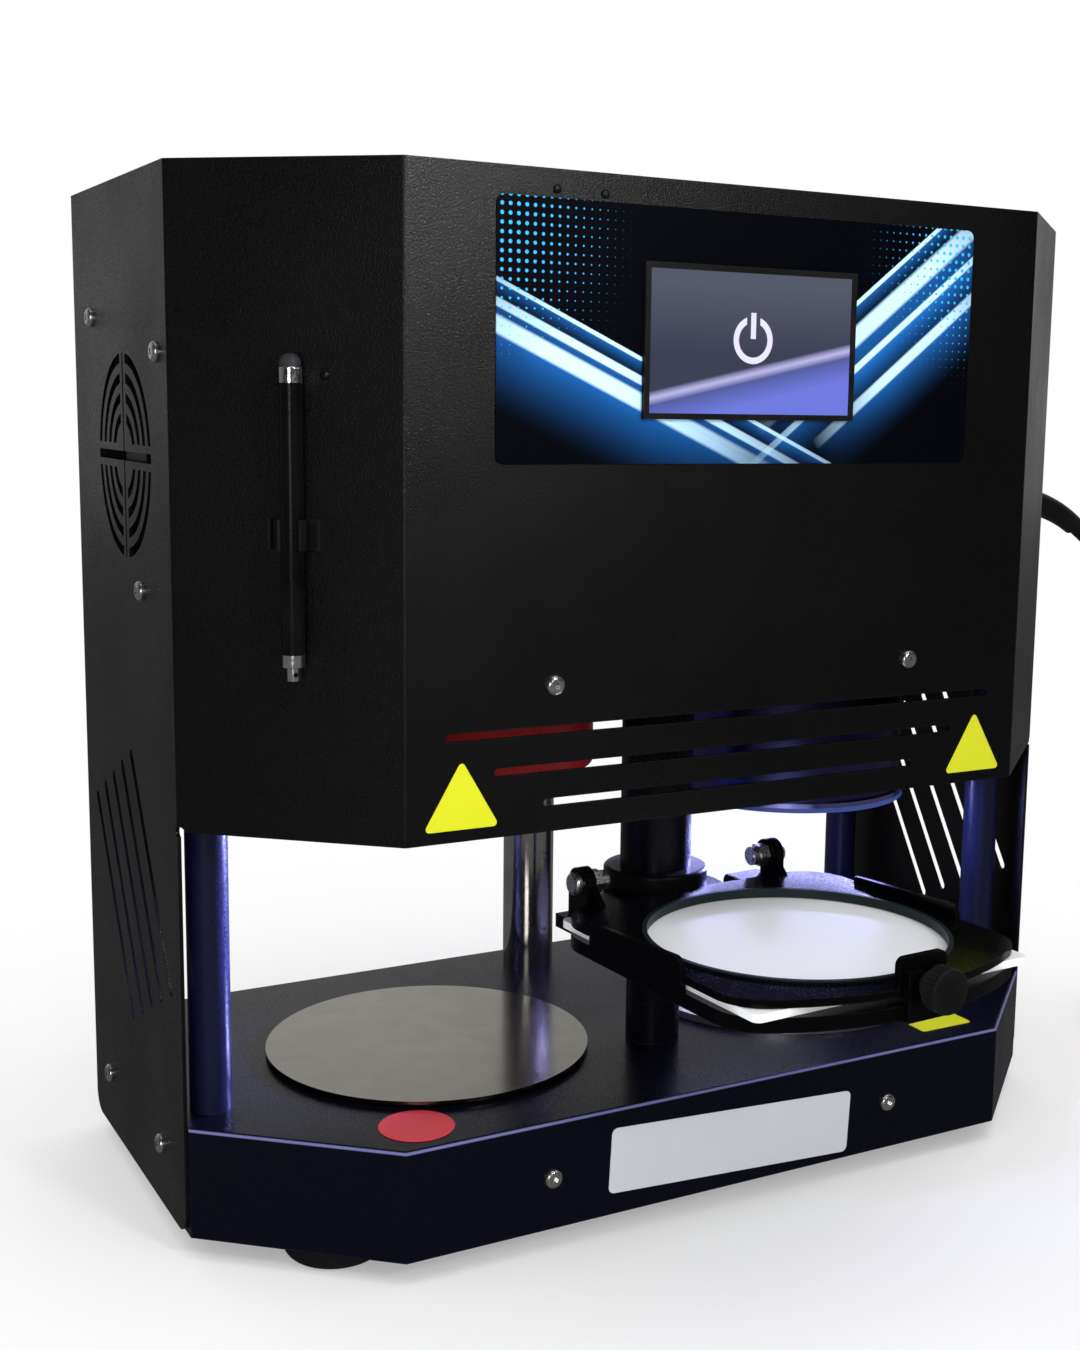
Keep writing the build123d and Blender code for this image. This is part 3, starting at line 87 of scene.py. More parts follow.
def photo_camera():
    """The camera at the photograph's place, turned by its yaw, pitch and roll in radians."""
    forward = Vector((
        math.sin(YAW) * math.cos(PITCH),
        math.cos(YAW) * math.cos(PITCH),
        -math.sin(PITCH),
    ))
    level = Vector((math.cos(YAW), -math.sin(YAW), 0))
    up = level.cross(forward)
    right = math.cos(ROLL) * level + math.sin(ROLL) * up
    up = math.cos(ROLL) * up - math.sin(ROLL) * level
    data = bpy.data.cameras.new("photo_camera")
    data.sensor_width = SENSOR_WIDTH
    data.lens = FOCAL_PIXELS * SENSOR_WIDTH / PHOTO_HEIGHT
    data.shift_x = (PHOTO_MIDDLE[0] - PRINCIPAL_POINT[0]) / PHOTO_HEIGHT
    data.shift_y = (PRINCIPAL_POINT[1] - PHOTO_MIDDLE[1]) / PHOTO_HEIGHT
    camera = bpy.data.objects.new("photo_camera", data)
    scene.collection.objects.link(camera)
    turn = Matrix((right, up, -forward)).transposed().to_4x4()
    camera.matrix_world = Matrix.Translation(EYE) @ turn
    scene.camera = camera
    print("lens in millimetres", round(data.lens, 1))


photo_camera()

# %% [markdown]
# ## The mains lead
# A lead is one fixed length of soft cable. It leaves the moulded strain relief, hangs down
# beside the machine, and lies in a neat coil on the table with its plug beside it. The hanging
# stretch follows listed points, as gravity and the cable's stiffness would bend it. The
# loops of the coil are worked out from their radius and pitch, because they repeat.

# %% Start of the lead
LEAD_RADIUS = 3.75 * MM
RELIEF_START = Vector((half_width + 42 * MM, front_y + 128 * MM, base_bottom + 267 * MM))
# These are plain millimetres, as the points of the route are.
RELIEF_REACH = 46
RELIEF_DROP = 14
FIRST_RUN = 30
LEAD_START = RELIEF_START + Vector((RELIEF_REACH, 0, -RELIEF_DROP)) * MM
LEAD_SLOPE = 2 * math.atan2(RELIEF_DROP, RELIEF_REACH)
print("lead starts at, in millimetres", [round(value / MM, 1) for value in LEAD_START])

# %% Coil of the lead
COIL_CENTRE = Vector((340 * MM, front_y + 62 * MM, 0))
COIL_MIDDLE = 45 * MM
COIL_PITCH = 8.1 * MM
TURNS_IN = 2.5
TURNS_OUT = 2
POINTS_PER_TURN = 16
COIL_OUTER = COIL_MIDDLE + COIL_PITCH * TURNS_IN / 2
COIL_INNER = COIL_OUTER - COIL_PITCH * TURNS_IN


def coil_points():
    """Control points of the two layers: in on the table, up in half a turn, and out on top."""
    rate = COIL_PITCH / math.tau
    step = math.tau / POINTS_PER_TURN
    climb = POINTS_PER_TURN // 2
    climb_start = TURNS_IN * math.tau
    top_start = (TURNS_IN + 0.5) * math.tau
    turns = []
    for i in range(round(TURNS_IN * POINTS_PER_TURN) + 1):
        turns.append((step * i, COIL_OUTER - rate * step * i, LEAD_RADIUS))
    for i in range(1, climb):
        share = i / climb
        rise = COIL_PITCH * (1 - math.cos(math.pi * share)) / 2
        radius = COIL_INNER - rate * math.pi * share * (1 - share)
        turns.append((climb_start + math.pi * share, radius, LEAD_RADIUS + rise))
    for i in range(round(TURNS_OUT * POINTS_PER_TURN) + 1):
        turns.append((top_start + step * i, COIL_INNER + rate * step * i, LEAD_RADIUS + COIL_PITCH))
    points = []
    for angle, radius, height in turns:
        away = Vector((radius * math.cos(angle), -radius * math.sin(angle), height))
        points.append(COIL_CENTRE + away)
    return points


print("coil radii in millimetres", round(COIL_INNER / MM, 1), "to", round(COIL_OUTER / MM, 1))

# %% Route of the lead
# Each point is so many millimetres right of the middle, behind the front and above the table.
lead_points = (
    (343.0, 133.0, 221.0),
    (362.0, 138.0, 188.0),
    (374.0, 142.0, 149.0),
    (381.0, 144.0, 108.0),
    (387.0, 143.0, 70.0),
    (393.0, 138.0, 38.0),
    (397.5, 131.0, 13.0),
    (396.5, 113.0, 3.75),
)
# The lead comes straight in to the coil, through points this far before it.
BEFORE_COIL = (31.5, 7.5)
LEAD_TAIL = 36 * MM


def lead_route():
    """Every control point of the lead, from the strain relief to the plug."""
    down = Vector((math.cos(LEAD_SLOPE), 0, -math.sin(LEAD_SLOPE)))
    back = Vector((0, 1, 0))
    loops = coil_points()
    route = [LEAD_START, LEAD_START + down * FIRST_RUN * MM]
    route += [Vector((x * MM, front_y + behind * MM, up * MM)) for x, behind, up in lead_points]
    route += [loops[0] + back * distance * MM for distance in BEFORE_COIL]
    return route + loops + [loops[-1] - back * LEAD_TAIL]


print("route points", len(lead_route()))

# %% [markdown]
# A cable is round and bends without a kink. Cylinders joined end to end would show their joints,
# so the lead is one NURBS curve of order three with a round bevel and closed ends.

# %% Lead
def nurbs_tube(name, points, radius):
    """A round tube along one smooth line. Its thickness is set at the points, so its box is true."""
    curve = bpy.data.curves.new(name, "CURVE")
    curve.dimensions = "3D"
    curve.bevel_depth = 1
    curve.bevel_resolution = 5
    curve.resolution_u = 6
    curve.use_fill_caps = True
    spline = curve.splines.new("NURBS")
    spline.points.add(len(points) - 1)
    for place, point in zip(spline.points, points):
        place.co = (*point, 1)
        place.radius = radius
    spline.order_u = 3
    spline.use_endpoint_u = True
    tube = bpy.data.objects.new(name, curve)
    scene.collection.objects.link(tube)
    return tube


lead = nurbs_tube("mains_lead", lead_route(), LEAD_RADIUS)
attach(lead, "housing")
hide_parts("power_lead", "power_lead_coil")
print("lead control points", len(lead.data.splines[0].points))

# %% [markdown]
# Stored leads are held by a strap of hook-and-loop tape. It is a flat ring that goes round all
# the turns at one place. A cut piece of pipe would be too stiff a shape, so the strap is drawn as
# one outline with round corners, as wide as the tape, and then given its thickness.

# %% Flat band
def object_from(name, shape):
    """Turns an edited mesh into an object of the scene."""
    mesh = bpy.data.meshes.new(name)
    shape.to_mesh(mesh)
    shape.free()
    made = bpy.data.objects.new(name, mesh)
    scene.collection.objects.link(made)
    return made


def swept_band(name, outline, along, width, thickness):
    """A closed flat band: the outline's points, as wide as the tape and solid to its thickness."""
    shape = bmesh.new()
    near = [shape.verts.new(point - along * width / 2) for point in outline]
    far = [shape.verts.new(point + along * width / 2) for point in outline]
    for i in range(len(outline)):
        j = (i + 1) % len(outline)
        shape.faces.new((near[i], near[j], far[j], far[i]))
    shape.normal_update()
    band = object_from(name, shape)
    wall = band.modifiers.new("thickness", "SOLIDIFY")
    wall.thickness = thickness
    wall.offset = 0
    soften = band.modifiers.new("edge", "BEVEL")
    soften.width = thickness / 4
    return band


# %% Tie of the coil
TIE_WIDTH = 12 * MM
TIE_THICKNESS = 0.7 * MM
TIE_ANGLE = math.radians(205)
TIE_BEND = LEAD_RADIUS * 0.8


def coil_tie():
    """The strap that holds the coil together, round its turns at one side."""
    outward = Vector((math.cos(TIE_ANGLE), math.sin(TIE_ANGLE), 0))
    along = Vector((-outward.y, outward.x, 0))
    inner = COIL_INNER - LEAD_RADIUS - TIE_THICKNESS
    outer = COIL_OUTER + LEAD_RADIUS
    low = TIE_THICKNESS
    high = LEAD_RADIUS * 2 + COIL_PITCH + TIE_THICKNESS
    # Each corner has its reach, its height and the direction of its bend in degrees.
    corners = ((inner, low, 225), (outer, low, 315), (outer, high, 45), (inner, high, 135))
    centre_line = []
    for reach, height, turn in corners:
        side = 1 if reach == outer else -1
        rise = 1 if height == high else -1
        for step in range(-3, 4):
            angle = math.radians(turn) + math.radians(15) * step
            away = reach - side * TIE_BEND + TIE_BEND * math.cos(angle)
            up = height - rise * TIE_BEND + TIE_BEND * math.sin(angle)
            centre_line.append(COIL_CENTRE + outward * away + Vector((0, 0, up)))
    tie = swept_band("coil_tie", centre_line, along, TIE_WIDTH, TIE_THICKNESS)
    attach(tie, "housing")
    return tie


tie = coil_tie()
print("tie points", len(tie.data.vertices))

# %% [markdown]
# ## Thin labels
# Thin coloured films lie on the cabinet and the base: two yellow triangles, a white plate, a
# red disc and a yellow patch. They could be painted into the finish of the sheet below, but a
# real film has an edge that catches light. So each is a thin solid with round corners and a soft
# rim, laid on the face that carries it.

# %% Outlines and films
FILM = 0.3 * MM


def rounded_outline(corners, radius, steps=5):
    """The corners of a flat outline, counter-clockwise, with an arc in place of each corner."""
    outline = []
    for i, corner in enumerate(corners):
        here = Vector(corner)
        back = (Vector(corners[i - 1]) - here).normalized()
        on = (Vector(corners[(i + 1) % len(corners)]) - here).normalized()
        half = back.angle(on) / 2
        centre = here + (back + on).normalized() * radius / math.sin(half)
        first = here + back * radius / math.tan(half) - centre
        sweep = math.pi - 2 * half
        for step in range(steps + 1):
            turned = Matrix.Rotation(sweep * step / steps, 2) @ first
            outline.append(centre + turned)
    return outline


def rectangle(width, height):
    """The corners of a rectangle about its centre, counter-clockwise, from plain millimetres."""
    signs = ((-1, -1), (1, -1), (1, 1), (-1, 1))
    return [Vector((x * width / 2, y * height / 2)) * MM for x, y in signs]


def film(name, outline, place):
    """A thin label: the outline in its own plane, moved on to the machine by the matrix."""
    shape = bmesh.new()
    shape.faces.new([shape.verts.new((x, y, 0)) for x, y in outline])
    raised = bmesh.ops.extrude_face_region(shape, geom=shape.faces[:])
    top = [item for item in raised["geom"] if isinstance(item, bmesh.types.BMVert)]
    bmesh.ops.translate(shape, vec=(0, 0, FILM), verts=top)
    bmesh.ops.transform(shape, matrix=place, verts=shape.verts)
    bmesh.ops.recalc_face_normals(shape, faces=shape.faces)
    label = object_from(name, shape)
    soften = label.modifiers.new("edge", "BEVEL")
    soften.width = FILM / 3
    soften.segments = 2
    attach(label, "housing")
    return label


def on_front(x, z, lean=0.0):
    """Places a flat shape on the front, with its own up along Z and its face forward."""
    upright = Matrix.Rotation(math.radians(90), 4, "X")
    return Matrix.Translation((x, front_y, z)) @ upright @ Matrix.Rotation(lean, 4, "Z")


# %% Labels on the front
TRIANGLE = [(-15 * MM, 0), (15 * MM, 0), (0, 25.5 * MM)]
TRIANGLE_CORNER = 1.4 * MM
TRIANGLE_AWAY = 118.5 * MM
TRIANGLE_FOOT = base_bottom + 161 * MM
PLATE_WIDTH = 115
PLATE_HEIGHT = 26.6
PLATE_CORNER = 2.5 * MM
PLATE_LEAN = math.radians(-3)
plate_place = on_front(2.5 * MM, base_bottom + 19 * MM, PLATE_LEAN)
triangle_outline = rounded_outline(TRIANGLE, TRIANGLE_CORNER)
triangles = []
for side, name in ((-1, "left_triangle"), (1, "right_triangle")):
    place = on_front(side * TRIANGLE_AWAY, TRIANGLE_FOOT)
    triangles.append(film(name, triangle_outline, place))
plate_outline = rounded_outline(rectangle(PLATE_WIDTH, PLATE_HEIGHT), PLATE_CORNER)
blank_plate = film("blank_plate", plate_outline, plate_place)
print("labels on the front", [label.name for label in (*triangles, blank_plate)])

# %% Labels on the base
DISC_RADIUS = 14.4 * MM
DISC_POINTS = 64
PATCH_WIDTH = 27
PATCH_DEPTH = 14
PATCH_CORNER = 1.5 * MM
disc_place = Matrix.Translation((-127.3 * MM, front_y + 20.4 * MM, base_top))
patch_place = Matrix.Translation((121.5 * MM, front_y + 18 * MM, base_top))
disc_outline = []
for i in range(DISC_POINTS):
    turn = math.tau * i / DISC_POINTS
    disc_outline.append(Vector((math.cos(turn), math.sin(turn))) * DISC_RADIUS)
red_disc = film("red_disc", disc_outline, disc_place)
patch_outline = rounded_outline(rectangle(PATCH_WIDTH, PATCH_DEPTH), PATCH_CORNER)
yellow_patch = film("yellow_patch", patch_outline, patch_place)
print("labels on the base", [label.name for label in (red_disc, yellow_patch)])

# %% [markdown]
# ## Painted studs
# Two small studs show near the top of the front, and one on the slanted corner. They are the
# painted heads of the studs that hold the boards behind the sheet. A squashed ball would have no
# rim, so a turned profile, spun round its own axis, gives each a flat crown and a soft edge.

# %% Painted studs
STUD_RADIUS = 1.7 * MM
# Each point is a reach from the axis and a height, as shares of the radius.
STUD_PROFILE = ((0, 0.62), (0.45, 0.6), (0.8, 0.48), (0.97, 0.25), (1.0, 0.0))


def stud(name, place):
    """A low domed head, turned about its own axis and set on the sheet by the matrix."""
    shape = bmesh.new()
    path = []
    for reach, height in STUD_PROFILE:
        path.append(shape.verts.new((reach * STUD_RADIUS, 0, height * STUD_RADIUS)))
    edges = [shape.edges.new(pair) for pair in zip(path, path[1:])]
    bmesh.ops.spin(shape, geom=path + edges, axis=(0, 0, 1), cent=(0, 0, 0), angle=math.tau, steps=24)
    bmesh.ops.remove_doubles(shape, verts=shape.verts, dist=STUD_RADIUS * 0.01)
    bmesh.ops.transform(shape, matrix=place, verts=shape.verts)
    bmesh.ops.recalc_face_normals(shape, faces=shape.faces)
    for face in shape.faces:
        face.smooth = True
    head = object_from(name, shape)
    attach(head, "housing")
    return head


# %% Places of the studs
CORNER_WIDTH = 65
CORNER_DEPTH = 58
corner_turn = math.pi / 2 - math.atan2(CORNER_WIDTH, CORNER_DEPTH)
on_corner = Matrix.Translation((-161.4 * MM, front_y + 19.1 * MM, base_bottom + 320.9 * MM))
on_corner = on_corner @ Matrix.Rotation(-corner_turn, 4, "Z")
on_corner = on_corner @ Matrix.Rotation(math.radians(90), 4, "X")
STUD_PLACES = {
    "left_stud": on_front(-82.6 * MM, base_bottom + 386.6 * MM),
    "right_stud": on_front(-63.4 * MM, base_bottom + 386.2 * MM),
    "corner_stud": on_corner,
}
studs = [stud(name, place) for name, place in STUD_PLACES.items()]
print("painted studs", len(studs))

# %% [markdown]
# ## Building blocks for finishes
# A finish is a small tree of shader nodes. It could be built by hand in the shader editor, but
# about forty finishes that are meant to match are easier to keep alike from a few functions.
# Every texture reads the object's own coordinates in metres, so it stays on its piece when the
# piece moves.

# %% Node helpers
def add(tree, kind, inputs=None, **settings):
    """A shader node with its settings, and its inputs set to values or linked from sockets."""
    node = tree.nodes.new("ShaderNode" + kind)
    for name, value in settings.items():
        setattr(node, name, value)
    for name, value in (inputs or {}).items():
        if isinstance(value, bpy.types.NodeSocket):
            tree.links.new(value, node.inputs[name])
        else:
            node.inputs[name].default_value = value
    return node


def calc(tree, operation, *values, clamp=False):
    """One step of arithmetic on sockets and numbers."""
    node = add(tree, "Math", dict(enumerate(values)), operation=operation, use_clamp=clamp)
    return node.outputs[0]


def spread(tree, value, low, high, first, last):
    """Turns a value between low and high into one between first and last."""
    ends = {"Value": value, "From Min": low, "From Max": high, "To Min": first, "To Max": last}
    return add(tree, "MapRange", ends).outputs["Result"]


# %% Colours and coordinates
# A Mix node has sockets for every kind of data. These are the numbers of those for colour.
MIX_SHARE = 0
MIX_FIRST = 6
MIX_SECOND = 7
MIX_RESULT = 2


def colour_of(value):
    """A colour socket as it is, or three numbers with the fourth that a colour needs."""
    return value if isinstance(value, bpy.types.NodeSocket) else (*value, 1)


def blend_colour(tree, share, first, second, blend_type="MIX"):
    """Mixes two colours by a share from 0 to 1."""
    inputs = {MIX_SHARE: share, MIX_FIRST: colour_of(first), MIX_SECOND: colour_of(second)}
    node = add(tree, "Mix", inputs, data_type="RGBA", blend_type=blend_type)
    return node.outputs[MIX_RESULT]


def place_in(tree):
    """The point's own place on the object, in metres."""
    return add(tree, "TexCoord").outputs["Object"]


def facing_up(tree):
    """How far the surface looks up: 1 on a level face and 0 on an upright one."""
    normal = add(tree, "NewGeometry").outputs["Normal"]
    return add(tree, "SeparateXYZ", {"Vector": normal}).outputs["Z"]


# %% [markdown]
# ## Shared effects
# Paint grain, smudges, dust, wear and turned lines appear on many pieces. Copying their nodes
# into every material would let the copies drift apart, so each effect is one node group with
# named inputs, built once and placed wherever it is wanted with other values.

# %% Group helpers
def new_group(name, **inputs):
    """A node group with named inputs, and the sockets through which its nodes read them."""
    group = bpy.data.node_groups.new(name, "ShaderNodeTree")
    for title, value in inputs.items():
        kind = "NodeSocketVector" if isinstance(value, tuple) else "NodeSocketFloat"
        socket = group.interface.new_socket(title, in_out="INPUT", socket_type=kind)
        socket.default_value = value
    return group, group.nodes.new("NodeGroupInput").outputs


def put_out(group, **results):
    """Gives a group its named outputs, each linked to a result, and prints its name."""
    for title in results:
        group.interface.new_socket(title, in_out="OUTPUT", socket_type="NodeSocketFloat")
    ends = group.nodes.new("NodeGroupOutput").inputs
    for title, result in results.items():
        group.links.new(result, ends[title])
    print("effect made", group.name, sorted(results))


# %% [markdown]
# Powder paint melts into a fine grain. Noise gives its swells and cells give its pits. The
# roughness follows the same height, so that highlights break up on the grain.

# %% Powder grain
PIT_SHARE = 0.5
GRAIN_HEIGHTS = (0.5, 0.95)
CREST_HEIGHTS = (0.8, 1.02)


def powder_grain():
    """Paint grain: a height for bump, a roughness that follows it, and a mask of its crests."""
    group, given = new_group("powder_grain", Scale=1100.0, Smooth=0.4, Rough=0.6)
    place = place_in(group)
    noise = {"Vector": place, "Scale": given["Scale"], "Detail": 3.0, "Roughness": 0.6}
    swell = add(group, "TexNoise", noise).outputs["Fac"]
    pit = add(group, "TexVoronoi", {"Vector": place, "Scale": given["Scale"]}).outputs["Distance"]
    height = calc(group, "ADD", swell, calc(group, "MULTIPLY", pit, PIT_SHARE))
    gloss = spread(group, height, *GRAIN_HEIGHTS, given["Smooth"], given["Rough"])
    crest = spread(group, height, *CREST_HEIGHTS, 0.0, 1.0)
    put_out(group, Height=height, Roughness=gloss, Crest=crest)


powder_grain()

# %% [markdown]
# Hands and wiping leave wide patches of uneven gloss, which soft noise gives. Dust is the
# reverse: small sharp specks. Cells with a speck in each would look like a pattern, so chance
# drops about half of them, and the rest lie only where a face looks up.

# %% Smudges and dust
SPECK_RARITY = 0.55
DUST_SLOPE = 0.8


def soft_smudges():
    """Wide uneven patches, as hands and wiping leave them."""
    group, given = new_group("soft_smudges", Scale=14.0)
    noise = {"Vector": place_in(group), "Scale": given["Scale"], "Detail": 5.0, "Distortion": 0.6}
    broad = add(group, "TexNoise", noise).outputs["Fac"]
    put_out(group, Mask=spread(group, broad, 0.35, 0.7, 0.0, 1.0))


def fine_dust():
    """A mask of specks that lie on faces that look up."""
    group, given = new_group("fine_dust", Scale=170.0, Size=0.05)
    cells = add(group, "TexVoronoi", {"Vector": place_in(group), "Scale": given["Scale"]})
    chance = add(group, "SeparateColor", {"Color": cells.outputs["Color"]})
    size = calc(group, "MULTIPLY", chance.outputs["Red"], given["Size"])
    near = calc(group, "LESS_THAN", cells.outputs["Distance"], size)
    few = calc(group, "GREATER_THAN", chance.outputs["Green"], SPECK_RARITY)
    upward = calc(group, "GREATER_THAN", facing_up(group), DUST_SLOPE)
    put_out(group, Mask=calc(group, "MULTIPLY", calc(group, "MULTIPLY", near, few), upward))


soft_smudges()
fine_dust()

# %% [markdown]
# Paint wears first along edges, and on painted metal the same lighter edge is also a painted
# highlight along them. The mask compares the true normal with one that the Bevel node has
# rounded: they differ only near an edge. Noise then breaks the line up, as chips would.

# %% Worn edges
EDGE_LIKENESS = (0.995, 0.85)
CHIP_SCALE = 260.0


def edge_wear_and_highlight():
    """A mask that is 1 along edges, broken up as paint wears, for wear and a painted edge highlight:
    rounded against true normals.
    """
    group, given = new_group("edge_wear_and_highlight", Reach=0.0012, Amount=1.0)
    rounded = add(group, "Bevel", {"Radius": given["Reach"]}, samples=6).outputs[0]
    sharp = add(group, "NewGeometry").outputs["Normal"]
    likeness = add(group, "VectorMath", {0: rounded, 1: sharp}, operation="DOT_PRODUCT")
    edge = spread(group, likeness.outputs["Value"], *EDGE_LIKENESS, 0.0, 1.0)
    chips = add(group, "TexNoise", {"Vector": place_in(group), "Scale": CHIP_SCALE, "Detail": 4.0})
    kept = spread(group, chips.outputs["Fac"], 0.4, 0.62, 0.25, 1.0)
    broken = calc(group, "MULTIPLY", edge, kept)
    put_out(group, Mask=calc(group, "MULTIPLY", broken, given["Amount"], clamp=True))


edge_wear_and_highlight()

# %% [markdown]
# A lathe leaves rings about its axis, closer than the eye can count. Noise along one dimension,
# the distance from the axis, gives rings of uneven depth, where a wave would look drawn.

# %% Turned lines
def turned_lines():
    """Fine rings about an upright axis, as a lathe leaves them: a height and a tone."""
    group, given = new_group("turned_lines", Centre=(0.0, 0.0, 0.0), Lines=900.0)
    away = add(group, "VectorMath", {0: place_in(group), 1: given["Centre"]}, operation="SUBTRACT")
    flat = add(group, "VectorMath", {0: away.outputs[0], 1: (1, 1, 0)}, operation="MULTIPLY")
    reach = add(group, "VectorMath", {0: flat.outputs[0]}, operation="LENGTH").outputs["Value"]
    count = calc(group, "MULTIPLY", reach, given["Lines"])
    rings = add(group, "TexNoise", {"W": count, "Scale": 1.0, "Detail": 3.0}, noise_dimensions="1D")
    ring = rings.outputs["Fac"]
    put_out(group, Height=ring, Tone=spread(group, ring, 0.3, 0.7, 0.0, 1.0))


turned_lines()

# %% [markdown]
# ## Starting a finish
# Every finish starts from a Principled shader with plain values, and then links what changes over
# the surface. The helpers here do what all of them share, and one dictionary keeps the materials
# by name until the pieces are dressed.

# %% Finish helpers
finishes = {}


def effect(tree, name, **inputs):
    """Places a shared effect in a tree, with each input set to a value or linked."""
    return add(tree, "Group", inputs, node_tree=bpy.data.node_groups[name]).outputs


def new_finish(name, colour, roughness, metallic=0.0, specular=0.5):
    """A material kept by its name, its tree, and the inputs of its shader with plain values."""
    material = bpy.data.materials.new(name)
    material.use_nodes = True
    tree = material.node_tree
    shader = tree.nodes["Principled BSDF"].inputs
    shader["Base Color"].default_value = (*colour, 1)
    shader["Roughness"].default_value = roughness
    shader["Metallic"].default_value = metallic
    shader["Specular IOR Level"].default_value = specular
    finishes[name] = material
    return tree, shader


def bump(tree, shader, height, strength, depth):
    """Sends a height to the shader as bump, with its real depth in metres."""
    relief = add(tree, "Bump", {"Height": height, "Strength": strength, "Distance": depth})
    tree.links.new(relief.outputs["Normal"], shader["Normal"])


def fine_texture(tree, shader, grain, smooth, rough, strength, depth):
    """A fine grain on a shader: its bump, and a roughness that follows it."""
    skin = effect(tree, "powder_grain", Scale=grain, Smooth=smooth, Rough=rough)
    tree.links.new(skin["Roughness"], shader["Roughness"])
    bump(tree, shader, skin["Height"], strength, depth)


# %% [markdown]
# ## Painted sheet and frames
# The cabinet, lid and base are bent steel with black powder paint. The finish needs a nearly
# black colour, a bump at the grain's size, and a low gloss that breaks up on it. Along edges the
# paint is thin and a little lighter, and that lighter colour is also a painted highlight along
# the edges. The long bend under the base's top catches a crisp line of light on the real
# machine. No soft lamp gives one, so a painted highlight stands for it, on the band of the bend
# that slopes.

# %% Painted highlight on the bend
BEND_HEIGHTS = (base_top - 3 * MM, base_top - 2 * MM)
SLOPE_BEGINS = (0.2, 0.4)
SLOPE_ENDS = (0.75, 0.9)


def bend_highlight_mask(tree):
    """A mask for the painted highlight on the base's bend: the band just under its top that is
    neither upright nor level.
    """
    height = add(tree, "SeparateXYZ", {"Vector": place_in(tree)}).outputs["Z"]
    upper = spread(tree, height, *BEND_HEIGHTS, 0.0, 1.0)
    slope = facing_up(tree)
    begins = spread(tree, slope, *SLOPE_BEGINS, 0.0, 1.0)
    ends = spread(tree, slope, *SLOPE_ENDS, 1.0, 0.0)
    return calc(tree, "MULTIPLY", calc(tree, "MULTIPLY", begins, ends), upper)


# %% Paint
CREST_SHARE = 0.12
DUST_GREY = (0.5, 0.5, 0.5)
SMUDGE_SHIFT = (-0.04, 0.05)


def painted(name, colour, worn_and_edge_highlight, roughness, specular, grain, depth, dust=0.0, bend_highlight=None):
    """Black paint on metal: grain, smudges, edges lighter from wear and a painted highlight, and dust
    and a painted highlight on the bend if asked.
    """
    tree, shader = new_finish(name, colour, roughness, specular=specular)
    paint = effect(tree, "powder_grain", Scale=grain, Smooth=roughness - 0.08, Rough=roughness + 0.1)
    smudge = effect(tree, "soft_smudges")
    edge = effect(tree, "edge_wear_and_highlight")
    tone = blend_colour(tree, calc(tree, "MULTIPLY", paint["Crest"], CREST_SHARE), colour, worn_and_edge_highlight)
    # Edges take the lighter colour: partly wear, partly a painted highlight along them.
    tone = blend_colour(tree, edge["Mask"], tone, worn_and_edge_highlight)
    # The lighter colour on the bend is a painted highlight, for the line of light that no lamp here
    # gives.
    if bend_highlight:
        tone = blend_colour(tree, bend_highlight_mask(tree), tone, bend_highlight)
    if dust:
        specks = effect(tree, "fine_dust")
        tone = blend_colour(tree, calc(tree, "MULTIPLY", specks["Mask"], dust), tone, DUST_GREY)
    tree.links.new(tone, shader["Base Color"])
    shift = spread(tree, smudge["Mask"], 0.0, 1.0, *SMUDGE_SHIFT)
    tree.links.new(calc(tree, "ADD", paint["Roughness"], shift), shader["Roughness"])
    bump(tree, shader, paint["Height"], strength=0.6, depth=depth)


# %% Painted finishes
BASE_DUST = 0.5
BEND_HIGHLIGHT_COLOUR = (0.14, 0.14, 0.32)
PAINTS = {
    # colour, colour of worn edges with their painted highlight, roughness, specular, grains a metre,
    # depth of the grain in metres, and for the base its share of dust and the colour of the painted
    # highlight on its bend
    "cabinet_paint": ((0.001, 0.001, 0.0011), (0.006, 0.006, 0.0065), 0.34, 0.25, 1400, 0.0002),
    "base_paint": ((0.0025, 0.0026, 0.0065), (0.01, 0.01, 0.03), 0.26, 0.06, 1500, 0.00001,
                   BASE_DUST, BEND_HIGHLIGHT_COLOUR),
    "chassis_paint": ((0.004, 0.004, 0.004), (0.03, 0.03, 0.03), 0.42, 0.08, 1300, 0.00004),
    # The posts' blue tint is painted light: the ring lamp's violet glow on their black paint.
    "post_paint_painted_violet_light": ((0.005, 0.006, 0.026), (0.02, 0.02, 0.05), 0.3, 0.25, 1700, 0.00001),
    "column_paint": ((0.0015, 0.0015, 0.004), (0.02, 0.02, 0.05), 0.28, 0.15, 1700, 0.00001),
    "frame_paint": ((0.0012, 0.0012, 0.0016), (0.006, 0.006, 0.0065), 0.2, 0.08, 1500, 0.000002),
    "collar_paint": ((0.0025, 0.0025, 0.0025), (0.025, 0.025, 0.025), 0.34, 0.08, 1400, 0.00004),
}
for name, values in PAINTS.items():
    painted(name, *values)
print("painted finishes", len(PAINTS))

# %% [markdown]
# ## Bare metals
# Metal takes its colour from its reflections, so these finishes are mostly gloss. Plated and
# ground steel gets a very fine grain. Round pieces off a lathe get rings about their own axis,
# which stretch the highlights. Both get patches where heat or hands have changed the tone.

# %% Plated and ground metal
def plain_metal(name, colour, handled, roughness, grain, depth):
    """Plated or ground metal: a very fine grain and patches of handling."""
    tree, shader = new_finish(name, colour, roughness, metallic=1.0)
    smudge = effect(tree, "soft_smudges", Scale=60.0)
    tree.links.new(blend_colour(tree, smudge["Mask"], colour, handled), shader["Base Color"])
    smooth = roughness - 0.05
    rough = roughness + 0.08
    fine_texture(tree, shader, grain, smooth, rough, strength=0.3, depth=depth)


